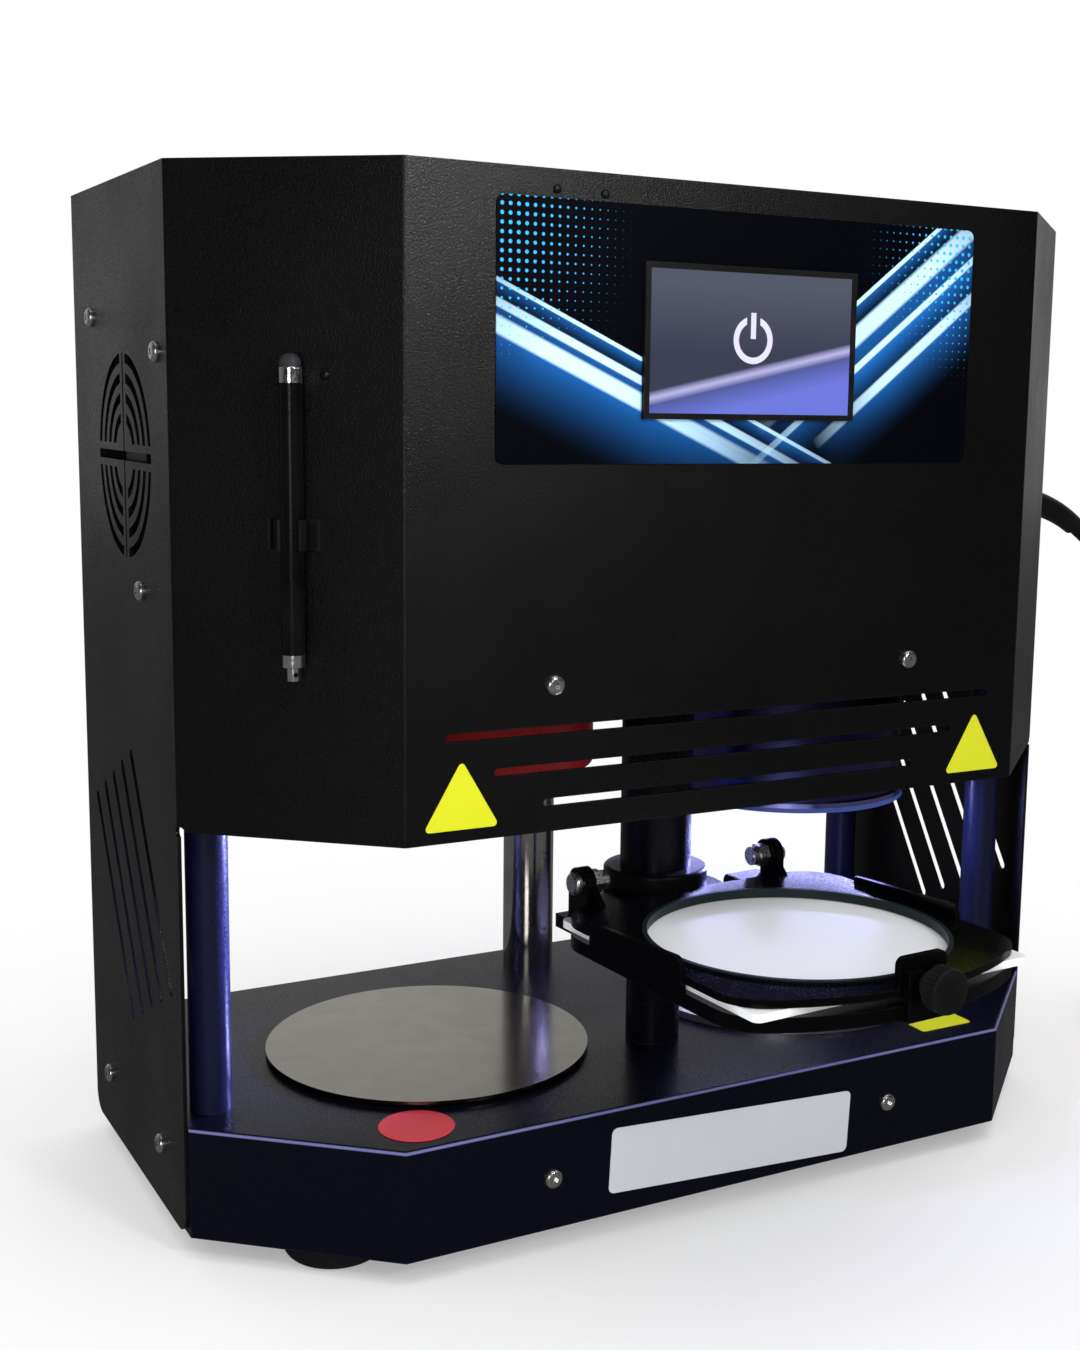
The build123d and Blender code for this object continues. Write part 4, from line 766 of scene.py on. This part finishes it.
METALS = {
    # colour, handled colour, roughness, grains a metre, depth of the grain in metres
    "reflector_steel": ((0.13, 0.119, 0.098), (0.155, 0.143, 0.12), 0.15, 1600, 0.0000005),
    "duct_chrome": ((0.62, 0.60, 0.58), (0.5, 0.48, 0.46), 0.12, 900, 0.00002),
    "screw_steel": ((0.7, 0.69, 0.67), (0.5, 0.49, 0.48), 0.24, 900, 0.00002),
    "zinc_steel": ((0.62, 0.61, 0.60), (0.48, 0.47, 0.46), 0.28, 900, 0.00002),
    "ground_steel": ((0.6, 0.6, 0.6), (0.5, 0.5, 0.5), 0.16, 900, 0.00002),
    "gear_steel": ((0.4, 0.4, 0.4), (0.3, 0.3, 0.3), 0.34, 900, 0.00002),
    "brass": ((0.78, 0.57, 0.28), (0.6, 0.42, 0.2), 0.3, 900, 0.00002),
    "galvanised": ((0.55, 0.56, 0.57), (0.42, 0.43, 0.44), 0.38, 160, 0.00004),
    "stylus_chrome": ((0.85, 0.85, 0.86), (0.7, 0.7, 0.7), 0.14, 900, 0.00002),
    "milled_alloy": ((0.66, 0.66, 0.68), (0.56, 0.56, 0.58), 0.3, 600, 0.00002),
}
for name, values in METALS.items():
    plain_metal(name, *values)
print("plain metals", len(METALS))

# %% Turned metal
HANDLED_SHARE = 0.6
HANDLED_DULLER = 0.06


def middle(node):
    """The centre of a node's box, as plain numbers."""
    low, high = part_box(node)
    return tuple((low + high) / 2)


def turned_metal(name, colour, handled, roughness, piece, lines, depth):
    """Metal with rings about a piece's upright axis, and patches that reflect less sharply."""
    tree, shader = new_finish(name, colour, roughness, metallic=1.0)
    rings = effect(tree, "turned_lines", Centre=middle(piece), Lines=lines)
    smudge = effect(tree, "soft_smudges", Scale=22.0)
    patchy = calc(tree, "MULTIPLY", smudge["Mask"], HANDLED_SHARE)
    tree.links.new(blend_colour(tree, patchy, colour, handled), shader["Base Color"])
    grind = spread(tree, rings["Tone"], 0.0, 1.0, roughness - 0.05, roughness + 0.06)
    duller = calc(tree, "MULTIPLY", smudge["Mask"], HANDLED_DULLER)
    tree.links.new(calc(tree, "ADD", grind, duller), shader["Roughness"])
    bump(tree, shader, rings["Height"], strength=0.5, depth=depth)


TURNED_METALS = {
    # colour, handled colour, roughness, piece with the axis, lines a metre, depth in metres
    "table_alloy": ((0.7, 0.7, 0.71), (0.6, 0.6, 0.6), 0.3, "vacuum_table", 900, 0.00003),
    # The violet tint of the bell and the rim is painted light from the ring lamp.
    "bell_alloy_painted_violet_light": ((0.06, 0.06, 0.2), (0.09, 0.09, 0.26), 0.3, "moulding_head", 800, 0.00002),
    "rim_alloy_painted_violet_light": ((0.3, 0.3, 0.72), (0.24, 0.24, 0.6), 0.2, "head_rim", 900, 0.00002),
}
for name, values in TURNED_METALS.items():
    turned_metal(name, *values)
print("turned metals", len(TURNED_METALS))

# %% [markdown]
# ## Plastics, rubber, enamel and film
# Moulded black plastic has a light spark-eroded texture, rubber is duller, and the heater's
# enamel is smooth and red. They differ only in their values, so one function makes them all from
# a table.

# %% Moulded finishes
RUBBED_SHARE = 0.3


def moulded(name, colour, rubbed, roughness, specular, grain, depth, wear):
    """Plastic, rubber or enamel: fine texture, uneven tone, and edges that have rubbed lighter."""
    tree, shader = new_finish(name, colour, roughness, specular=specular)
    smudge = effect(tree, "soft_smudges", Scale=45.0)
    tone = blend_colour(tree, calc(tree, "MULTIPLY", smudge["Mask"], RUBBED_SHARE), colour, rubbed)
    if wear:
        edge = effect(tree, "edge_wear_and_highlight", Reach=0.0006, Amount=wear)
        tone = blend_colour(tree, edge["Mask"], tone, rubbed)
    tree.links.new(tone, shader["Base Color"])
    smooth = roughness - 0.06
    rough = roughness + 0.08
    fine_texture(tree, shader, grain, smooth, rough, strength=0.5, depth=depth)


MOULDED = {
    # colour, rubbed colour, roughness, specular, grains a metre, depth in metres, wear of edges
    "black_plastic": ((0.004, 0.004, 0.004), (0.02, 0.02, 0.02), 0.38, 0.1, 1800, 0.00003, 0.5),
    "knob_plastic": ((0.004, 0.004, 0.004), (0.025, 0.025, 0.025), 0.42, 0.12, 1800, 0.00003, 0.5),
    "tip_rubber": ((0.018, 0.018, 0.022), (0.03, 0.03, 0.035), 0.5, 0.2, 1800, 0.00003, 0.0),
    "stylus_black": ((0.002, 0.002, 0.002), (0.01, 0.01, 0.01), 0.2, 0.08, 1800, 0.00003, 0.2),
    "lead_rubber": ((0.005, 0.005, 0.005), (0.015, 0.015, 0.015), 0.36, 0.15, 1800, 0.00003, 0.0),
    "foot_rubber": ((0.006, 0.006, 0.006), (0.02, 0.02, 0.02), 0.55, 0.08, 1800, 0.00003, 0.5),
    "seal_rubber": ((0.008, 0.014, 0.016), (0.02, 0.03, 0.032), 0.4, 0.15, 1800, 0.00003, 0.5),
    "blue_silicone": ((0.05, 0.09, 0.42), (0.1, 0.16, 0.55), 0.36, 0.4, 1800, 0.00003, 0.5),
    "red_enamel": ((0.42, 0.012, 0.014), (0.3, 0.01, 0.01), 0.32, 0.4, 700, 0.00003, 0.5),
    "heater_ceramic": ((0.16, 0.155, 0.15), (0.28, 0.27, 0.26), 0.6, 0.2, 500, 0.00008, 0.5),
    "board_green": ((0.02, 0.12, 0.05), (0.05, 0.2, 0.09), 0.35, 0.4, 1800, 0.00003, 0.5),
    "white_sheet": ((0.9, 0.92, 0.94), (0.88, 0.9, 0.93), 0.34, 0.3, 1800, 0.000001, 0.0),
    "yellow_film": ((0.6, 0.62, 0.01), (0.54, 0.56, 0.015), 0.4, 0.2, 900, 0.00001, 0.0),
    "white_film": ((0.52, 0.54, 0.58), (0.48, 0.5, 0.54), 0.35, 0.2, 900, 0.00001, 0.0),
    "red_film": ((0.62, 0.03, 0.05), (0.5, 0.04, 0.05), 0.4, 0.2, 900, 0.00001, 0.0),
}
for name, values in MOULDED.items():
    moulded(name, *values)
print("moulded finishes", len(MOULDED))

# %% [markdown]
# The plug is black plastic with bright pins, in one piece of the model. Its faces could be sorted
# by hand into two materials, and again after each change of the model. One material that turns
# to metal past the end of the moulded body needs no sorting.

# %% Mains plug
# The neck and the body are in plain millimetres.
PLUG_NECK = 18
PLUG_BODY = 36
PIN_MARGIN = 0.3 * MM
PLUG_COLOUR = (0.01, 0.01, 0.01)
PIN_COLOUR = (0.75, 0.72, 0.62)


def plug_finish():
    """Black moulding with bright pins: the pins are what lies beyond the end of the body."""
    tree, shader = new_finish("plug_black", PLUG_COLOUR, 0.4, specular=0.4)
    body_end = COIL_CENTRE.y - LEAD_TAIL - (PLUG_NECK + PLUG_BODY) * MM
    place = add(tree, "SeparateXYZ", {"Vector": place_in(tree)})
    pin = calc(tree, "LESS_THAN", place.outputs["Y"], body_end - PIN_MARGIN)
    tree.links.new(pin, shader["Metallic"])
    tree.links.new(blend_colour(tree, pin, PLUG_COLOUR, PIN_COLOUR), shader["Base Color"])
    fine_texture(tree, shader, grain=1500, smooth=0.3, rough=0.46, strength=0.5, depth=0.00003)


plug_finish()
print("plug finish made")

# %% [markdown]
# ## The ring lamp
# A ring of violet diodes sits in the moulding head. Each could be a lamp of its own, but their
# cover spreads them to one band of light. So the ring itself glows, a little brighter at the
# cells that stand for its diodes.

# %% Lamp
LAMP_STRENGTH = 30.0
LAMP_DEEP = (0.3, 0.3, 0.7)
LAMP_BRIGHT = (0.5, 0.5, 1.0)


def lamp_finish():
    """A frosted ring that glows violet, brighter at the middle of each cell."""
    tree, shader = new_finish("lamp_violet", (0.5, 0.5, 0.9), 0.4)
    cells = add(tree, "TexVoronoi", {"Vector": place_in(tree), "Scale": 120.0})
    glow = spread(tree, cells.outputs["Distance"], 0.0, 0.7, 1.0, 0.55)
    tree.links.new(blend_colour(tree, glow, LAMP_DEEP, LAMP_BRIGHT), shader["Emission Color"])
    shader["Emission Strength"].default_value = LAMP_STRENGTH


lamp_finish()
print("lamp strength", LAMP_STRENGTH)

# %% [markdown]
# ## The screen and the printed panel
# The panel is printed film: straight bands of light that cross low down, and fields of even
# dots. An image could hold it all, but nodes keep every edge sharp at any distance. So a group
# first gives the place on the panel in millimetres, and shapes are worked out from that.

# %% Place on a panel
PER_METRE = 1000.0


def panel_place():
    """Where a point is on an upright panel, in millimetres from the panel's centre."""
    group, given = new_group("panel_place", Centre=(0.0, 0.0, 0.0))
    away = add(group, "VectorMath", {0: place_in(group), 1: given["Centre"]}, operation="SUBTRACT")
    large = add(group, "VectorMath", {0: away.outputs[0], "Scale": PER_METRE}, operation="SCALE")
    parts = add(group, "SeparateXYZ", {"Vector": large.outputs[0]})
    put_out(group, Across=parts.outputs["X"], Up=parts.outputs["Z"])


def products_added(tree, first, second):
    """Adds the products of two pairs of values."""
    return calc(tree, "ADD", calc(tree, "MULTIPLY", *first), calc(tree, "MULTIPLY", *second))


def distance(tree, across, up):
    """How far a point is from where both of its values are 0."""
    return calc(tree, "SQRT", products_added(tree, (across, across), (up, up)))


def within(tree, value, centre, reach):
    """1 where a value is nearer to the centre than the reach, and 0 elsewhere."""
    away = calc(tree, "ABSOLUTE", calc(tree, "SUBTRACT", value, centre))
    return calc(tree, "LESS_THAN", away, reach)


panel_place()

# %% Band of light
# The core's edge and the glow are counted in widths of the band, and the fade in its length.
CORE_EDGE = (0.7, 1.1)
GLOW_WIDTHS = 9.0
FADE_FROM = 0.3


def light_band():
    """A straight band at a slope: a sharp core, a soft glow below it, and a fade along it."""
    shape = {"Angle": 0.5, "Offset": 0.0, "Width": 2.0, "Middle": 0.0, "Length": 80.0}
    group, given = new_group("light_band", Across=0.0, Up=0.0, **shape)
    across = given["Across"]
    up = given["Up"]
    cosine = calc(group, "COSINE", given["Angle"])
    sine = calc(group, "SINE", given["Angle"])
    along = products_added(group, (across, cosine), (up, sine))
    lift = calc(group, "MULTIPLY", up, cosine)
    beside = calc(group, "SUBTRACT", lift, calc(group, "MULTIPLY", across, sine))
    beside = calc(group, "SUBTRACT", beside, given["Offset"])
    away = calc(group, "DIVIDE", calc(group, "ABSOLUTE", beside), given["Width"])
    run = calc(group, "DIVIDE", calc(group, "SUBTRACT", along, given["Middle"]), given["Length"])
    fade = spread(group, calc(group, "ABSOLUTE", run), FADE_FROM, 1.0, 1.0, 0.0)
    core = calc(group, "MULTIPLY", spread(group, away, *CORE_EDGE, 1.0, 0.0), fade)
    widths = calc(group, "DIVIDE", beside, given["Width"])
    below = spread(group, widths, -GLOW_WIDTHS, 0.0, 0.0, 1.0)
    under = calc(group, "MULTIPLY", below, calc(group, "LESS_THAN", beside, 0.0))
    glow = calc(group, "MULTIPLY", calc(group, "POWER", under, 2.0), fade)
    put_out(group, Core=core, Glow=glow)


light_band()

# %% Even dots
DOT_EDGE = 0.08


def even_dots():
    """A square field of round dots whose size is given, so that a fading size makes a halftone."""
    group, given = new_group("even_dots", Across=0.0, Up=0.0, Pitch=3.0, Size=0.3)
    from_dot = []
    for title in ("Across", "Up"):
        count = calc(group, "DIVIDE", given[title], given["Pitch"])
        from_dot.append(calc(group, "SUBTRACT", calc(group, "FRACT", count), 0.5))
    inside = calc(group, "SUBTRACT", given["Size"], distance(group, *from_dot))
    put_out(group, Mask=calc(group, "DIVIDE", inside, DOT_EDGE, clamp=True))


even_dots()

# %% Printed panel
BANDS = (
    # slope in degrees, offset, width, middle and length in millimetres
    (-24, -34.0, 1.6, -40.0, 95.0),
    (-24, -41.0, 3.2, -52.0, 85.0),
    (-24, -27.0, 0.8, -30.0, 110.0),
    (38, -28.0, 3.6, 62.0, 80.0),
    (38, -38.0, 1.4, 58.0, 90.0),
    (38, -18.0, 0.9, 66.0, 75.0),
    (38, -50.0, 2.2, 60.0, 60.0),
)
PANEL_BLACK = (0.001, 0.0015, 0.003)
BAND_BLUE = (0.015, 0.17, 0.6)
BAND_LIGHT = (0.5, 0.76, 0.95)
DOT_BLUE = (0.04, 0.36, 0.7)
GLOW_SHARE = 0.6
DOT_LARGEST = 0.26
# Millimetres on the panel, as in the table.
DOT_PITCH = 3.2
DOTS_GROW_OUT = (45.0, 95.0)
DOTS_GROW_UP = (-20.0, 25.0)


def printed_panel():
    """Black printed film with straight blue bands that cross low down, and two fields of dots."""
    tree, shader = new_finish("printed_panel", (0.001, 0.0015, 0.0025), 0.3, specular=0.03)
    place = effect(tree, "panel_place", Centre=middle("control_overlay"))
    where = {"Across": place["Across"], "Up": place["Up"]}
    tone = PANEL_BLACK
    for slope, offset, width, centre, length in BANDS:
        shape = {"Offset": offset, "Width": width, "Middle": centre, "Length": length}
        band = effect(tree, "light_band", Angle=math.radians(slope), **where, **shape)
        glow = calc(tree, "MULTIPLY", band["Glow"], GLOW_SHARE)
        tone = blend_colour(tree, glow, tone, BAND_BLUE, "ADD")
        tone = blend_colour(tree, band["Core"], tone, BAND_LIGHT)
    away = calc(tree, "ABSOLUTE", place["Across"])
    outward = spread(tree, away, *DOTS_GROW_OUT, 0.0, DOT_LARGEST)
    upward = spread(tree, place["Up"], *DOTS_GROW_UP, 0.0, 1.0)
    size = calc(tree, "MULTIPLY", outward, upward)
    dots = effect(tree, "even_dots", Size=size, Pitch=DOT_PITCH, **where)
    tree.links.new(blend_colour(tree, dots["Mask"], tone, DOT_BLUE), shader["Base Color"])
    fine_texture(tree, shader, grain=900, smooth=0.26, rough=0.36, strength=0.2, depth=0.00001)


printed_panel()
print("bands on the panel", len(BANDS))

# %% [markdown]
# The touch screen gives its own light. Its field is dark and turns blue-violet at the foot, under
# a bright slanting line, and in the middle stands the ring and bar of a power switch. All of it
# is emission worked out from distances, so it shines evenly and needs no lamp behind the glass.

# %% Sign on the screen
# Millimetres from the middle of the sign.
RING_RADIUS = 7.6
RING_HALF_WIDTH = 1.2
GAP_HALF_WIDTH = 3.0
BAR_HALF_WIDTH = 1.15
BAR_HALF_HEIGHT = 4.8
BAR_MIDDLE = 5.3


def power_sign(tree, across, up):
    """A mask of a ring that is open at its top, with a short upright bar in the opening."""
    ring = within(tree, distance(tree, across, up), RING_RADIUS, RING_HALF_WIDTH)
    slim = within(tree, across, 0.0, GAP_HALF_WIDTH)
    gap = calc(tree, "MULTIPLY", slim, calc(tree, "GREATER_THAN", up, 0.0))
    ring = calc(tree, "MULTIPLY", ring, calc(tree, "SUBTRACT", 1.0, gap))
    upright = within(tree, across, 0.0, BAR_HALF_WIDTH)
    bar = calc(tree, "MULTIPLY", upright, within(tree, up, BAR_MIDDLE, BAR_HALF_HEIGHT))
    return calc(tree, "MAXIMUM", ring, bar)


# %% Lit screen
FIELD_LOW = (0.045, 0.05, 0.085)
FIELD_HIGH = (0.09, 0.1, 0.14)
FOOT_VIOLET = (0.16, 0.2, 0.74)
LINE_VIOLET = (0.62, 0.6, 0.98)
SIGN_WHITE = (0.86, 0.84, 1.0)
FOOT_SLANT = -0.22
# Millimetres from the middle of the screen.
FIELD_LIGHTENS = (-4.0, 22.0)
FOOT_FADES = (-22.0, -8.0)
LINE_DROP = 11.0
LINE_REACH = 2.6
SIGN_RISE = 1.5


def lit_screen():
    """A lit screen behind glass: dark above, blue-violet at the foot, and a ring with a bar."""
    tree, shader = new_finish("lit_screen", (0.002, 0.002, 0.003), 0.12, specular=0.05)
    place = effect(tree, "panel_place", Centre=middle("screen_glass"))
    across = place["Across"]
    up = place["Up"]
    lighter = spread(tree, up, *FIELD_LIGHTENS, 0.0, 1.0)
    field = blend_colour(tree, lighter, FIELD_LOW, FIELD_HIGH)
    rise = calc(tree, "ADD", up, calc(tree, "MULTIPLY", across, FOOT_SLANT))
    foot = spread(tree, rise, *FOOT_FADES, 1.0, 0.0)
    field = blend_colour(tree, foot, field, FOOT_VIOLET)
    from_line = calc(tree, "ABSOLUTE", calc(tree, "ADD", rise, LINE_DROP))
    line = spread(tree, from_line, 0.0, LINE_REACH, 0.8, 0.0)
    field = blend_colour(tree, line, field, LINE_VIOLET)
    sign = power_sign(tree, across, calc(tree, "SUBTRACT", up, SIGN_RISE))
    tree.links.new(blend_colour(tree, sign, field, SIGN_WHITE), shader["Emission Color"])
    shader["Emission Strength"].default_value = 1.0


lit_screen()
print("finishes", len(finishes))

# %% [markdown]
# ## Dressing the machine
# Each piece takes its finish here. The finishes could be given where each is made, but one table
# shows at a glance which pieces are alike, and a check prints any name that was forgotten.

# %% Finishes of the model's pieces
PIECES = {
    "cabinet_paint": ("front_casing", "rear_cover", "top_cover"),
    "base_paint": ("base_shell", "base_bottom"),
    "chassis_paint": ("chassis_plate", "lift_bridge"),
    "post_paint_painted_violet_light": ("corner_posts",),
    "column_paint": ("guide_post", "guide_rod", "lift_sleeve", "sleeve_bearing"),
    "collar_paint": ("collar",),
    "milled_alloy": ("carriage",),
    "frame_paint": ("lower_frame", "upper_frame"),
    "reflector_steel": ("heat_reflector",),
    "duct_chrome": ("vacuum_duct",),
    "table_alloy": ("vacuum_table",),
    "bell_alloy_painted_violet_light": ("moulding_head",),
    "rim_alloy_painted_violet_light": ("head_rim",),
    "screw_steel": ("case_screws",),
    "zinc_steel": ("hinge_bolts", "hinge_nuts"),
    "ground_steel": ("lift_screw", "clamp_stud"),
    "gear_steel": ("swing_gear", "swing_pinion", "lift_motor", "swing_motor", "vacuum_motor"),
    "brass": ("lift_nut",),
    "galvanised": ("power_supply",),
    "stylus_chrome": ("stylus_metal",),
    "black_plastic": ("fan_frame", "fan_rotor", "power_inlet", "power_rocker", "screen_bezel",
                      "stylus_clip", "lead_connector"),
    "knob_plastic": ("clamp_knob",),
    "stylus_black": ("stylus_barrel",),
    "lead_rubber": ("lead_relief",),
    "foot_rubber": ("rubber_feet",),
    "tip_rubber": ("stylus_tip",),
    "seal_rubber": ("seal_ring", "table_seal"),
    "blue_silicone": ("head_seal",),
    "red_enamel": ("heater_housing",),
    "heater_ceramic": ("heater_plate",),
    "board_green": ("control_board",),
    "white_sheet": ("plastic_sheet",),
    "plug_black": ("lead_plug",),
    "lamp_violet": ("ring_lamp",),
    "printed_panel": ("control_overlay",),
    "lit_screen": ("screen_glass",),
}
REPLACED = {"power_lead", "power_lead_coil"}
dressed = {name for names in PIECES.values() for name in names}
print("pieces without a finish", sorted(set(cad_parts) - dressed - REPLACED))

# %% Dress every piece
ADDED = {
    "cabinet_paint": studs,
    "lead_rubber": [lead],
    "black_plastic": [tie],
    "yellow_film": [*triangles, yellow_patch],
    "white_film": [blank_plate],
    "red_film": [red_disc],
}


def dress(obj, finish):
    """Gives an object one finish in place of what it had."""
    obj.data.materials.clear()
    obj.data.materials.append(finishes[finish])


for finish, names in PIECES.items():
    for name in names:
        dress(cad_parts[name], finish)
for finish, objects in ADDED.items():
    for obj in objects:
        dress(obj, finish)
print("finishes without a piece", sorted(set(finishes) - set(PIECES) - set(ADDED)))

# %% [markdown]
# ## Floor, light and background
# The machine stands on a wide pale floor that fades to white. A curved paper sweep would do the
# same, but a flat floor that starts to glow with distance leaves no bend to see. It looks dark in
# reflections, because the black faces in the photograph mirror nothing white.

# %% Floor
FLOOR_REACH = 4.0
FLOOR_FADE = (0.25, 0.65)
FLOOR_GLOW = 0.3
FLOOR_MIRRORED = 0.12
FLOOR_DULL = (0.955, 0.955, 0.955)
FLOOR_PALE = (0.965, 0.965, 0.965)


def floor_shader(tree, plain):
    """Links the floor's look: its plain shader, a white glow far off, and dark in reflections."""
    away = add(tree, "VectorMath", {0: place_in(tree)}, operation="LENGTH").outputs["Value"]
    white = add(tree, "Emission", {"Color": (1, 1, 1, 1), "Strength": 1.0})
    dark = add(tree, "Emission", {"Color": (1, 1, 1, 1), "Strength": FLOOR_MIRRORED})
    fade = spread(tree, away, *FLOOR_FADE, FLOOR_GLOW, 1.0)
    lit = add(tree, "MixShader", {0: fade, 1: plain, 2: white.outputs[0]})
    mirrored = add(tree, "LightPath").outputs["Is Glossy Ray"]
    both = add(tree, "MixShader", {0: mirrored, 1: lit.outputs[0], 2: dark.outputs[0]})
    tree.links.new(both.outputs[0], tree.nodes["Material Output"].inputs["Surface"])


def floor():
    """A wide pale floor: it takes the shadow, fades to white, and looks dark in reflections."""
    mesh = bpy.data.meshes.new("floor")
    signs = ((-1, -1), (1, -1), (1, 1), (-1, 1))
    corners = [(x * FLOOR_REACH, y * FLOOR_REACH, 0) for x, y in signs]
    mesh.from_pydata(corners, [], [(0, 1, 2, 3)])
    ground = bpy.data.objects.new("floor", mesh)
    scene.collection.objects.link(ground)
    tree, shader = new_finish("floor_white", (0.96, 0.96, 0.96), 0.8, specular=0.0)
    clouds = add(tree, "TexNoise", {"Vector": place_in(tree), "Scale": 2.0})
    tone = spread(tree, clouds.outputs["Fac"], 0.3, 0.7, 0.0, 1.0)
    tree.links.new(blend_colour(tree, tone, FLOOR_DULL, FLOOR_PALE), shader["Base Color"])
    floor_shader(tree, tree.nodes["Principled BSDF"].outputs[0])
    dress(ground, "floor_white")


floor()
print("floor reaches, in metres", FLOOR_REACH)

# %% [markdown]
# In reflections the studio is white behind the machine and dark before it, as if black cloth
# hung round the camera, with less white at both sides. The black faces then stay black, and
# metal gets bright and dark stripes. The light that falls on the machine is even all the same,
# because the world tells rays that mirror from rays that light.

# %% Background
AMBIENT = 0.95
BEHIND = (-0.3, 0.3)
BEFORE_SHINE = 0.05
LEFT_SIDE = (-0.2, 0.1)
LEFT_SHINE = 0.12
RIGHT_SIDE = (0.35, 0.6)
RIGHT_SHINE = 0.5


def white_world():
    """White for the camera and behind the machine in reflections, and an even light for the rest."""
    world = bpy.data.worlds.new("studio")
    world.use_nodes = True
    tree = world.node_tree
    path = add(tree, "LightPath").outputs
    seen = calc(tree, "MAXIMUM", path["Is Camera Ray"], path["Is Glossy Ray"])
    seen = calc(tree, "MAXIMUM", seen, path["Is Transmission Ray"])
    toward = add(tree, "SeparateXYZ", {"Vector": add(tree, "TexCoord").outputs["Generated"]})
    behind = spread(tree, toward.outputs["Y"], *BEHIND, BEFORE_SHINE, 1.0)
    left = spread(tree, toward.outputs["X"], *LEFT_SIDE, LEFT_SHINE, 1.0)
    right = spread(tree, toward.outputs["X"], *RIGHT_SIDE, 1.0, RIGHT_SHINE)
    mirrored = calc(tree, "MULTIPLY", behind, calc(tree, "MULTIPLY", left, right))
    shine = calc(tree, "MAXIMUM", path["Is Camera Ray"], mirrored)
    even = calc(tree, "MULTIPLY", calc(tree, "SUBTRACT", 1.0, seen), AMBIENT)
    strength = calc(tree, "ADD", calc(tree, "MULTIPLY", seen, shine), even)
    background = tree.nodes["Background"].inputs
    background["Color"].default_value = (1, 1, 1, 1)
    tree.links.new(strength, background["Strength"])
    scene.world = world


white_world()
scene.view_settings.view_transform = "Standard"
print("world", scene.world.name)

# %% [markdown]
# Three large soft lamps model the shape: one behind at the left, one above, and one before at the
# left. A small lamp high at the front puts a sheen on the cabinet. The ring lamp is too small to
# light the posts without noise, so two violet lamps at its place stand for its light to the left
# and to the right.

# %% Lamps
WHITE = (1, 1, 1)
VIOLET = (0.34, 0.36, 1.0)
ring_place = Vector(middle("head_rim")) - Vector((0, 0, 12)) * MM
LIGHTS = {
    # place, target and size in metres, power in watts, beam in degrees, colour
    "left_light": ((-1.0, 1.5, 0.7), (-0.2, 0.1, 0.25), 1.1, 1, 180, WHITE),
    "top_light": ((0.2, -0.4, 1.9), (0, 0, 0.1), 1.2, 5, 180, WHITE),
    "front_light": ((0.14, -0.97, 0.72), (-0.19, front_y, 0.42), 0.16, 0.6, 50, WHITE),
    "strip_light": ((-0.95, -1.35, 0.4), (0, 0, 0.3), 0.45, 5.5, 180, WHITE),
    "glow_left": (ring_place, (-0.19, 0.03, 0.1), 0.03, 1.2, 50, VIOLET),
    "glow_right": (ring_place, (0.2, -0.01, 0.12), 0.03, 0.06, 50, VIOLET),
}


def soft_light(name, place, target, size, power, beam, colour):
    """A square area lamp at a place, turned towards a target, out of the camera's sight."""
    data = bpy.data.lights.new(name, "AREA")
    data.energy = power
    data.size = size
    data.spread = math.radians(beam)
    data.color = colour
    lamp = bpy.data.objects.new(name, data)
    lamp.location = place
    lamp.visible_camera = False
    lamp.rotation_euler = (Vector(target) - Vector(place)).to_track_quat("-Z", "Y").to_euler()
    scene.collection.objects.link(lamp)


for name, values in LIGHTS.items():
    soft_light(name, *values)
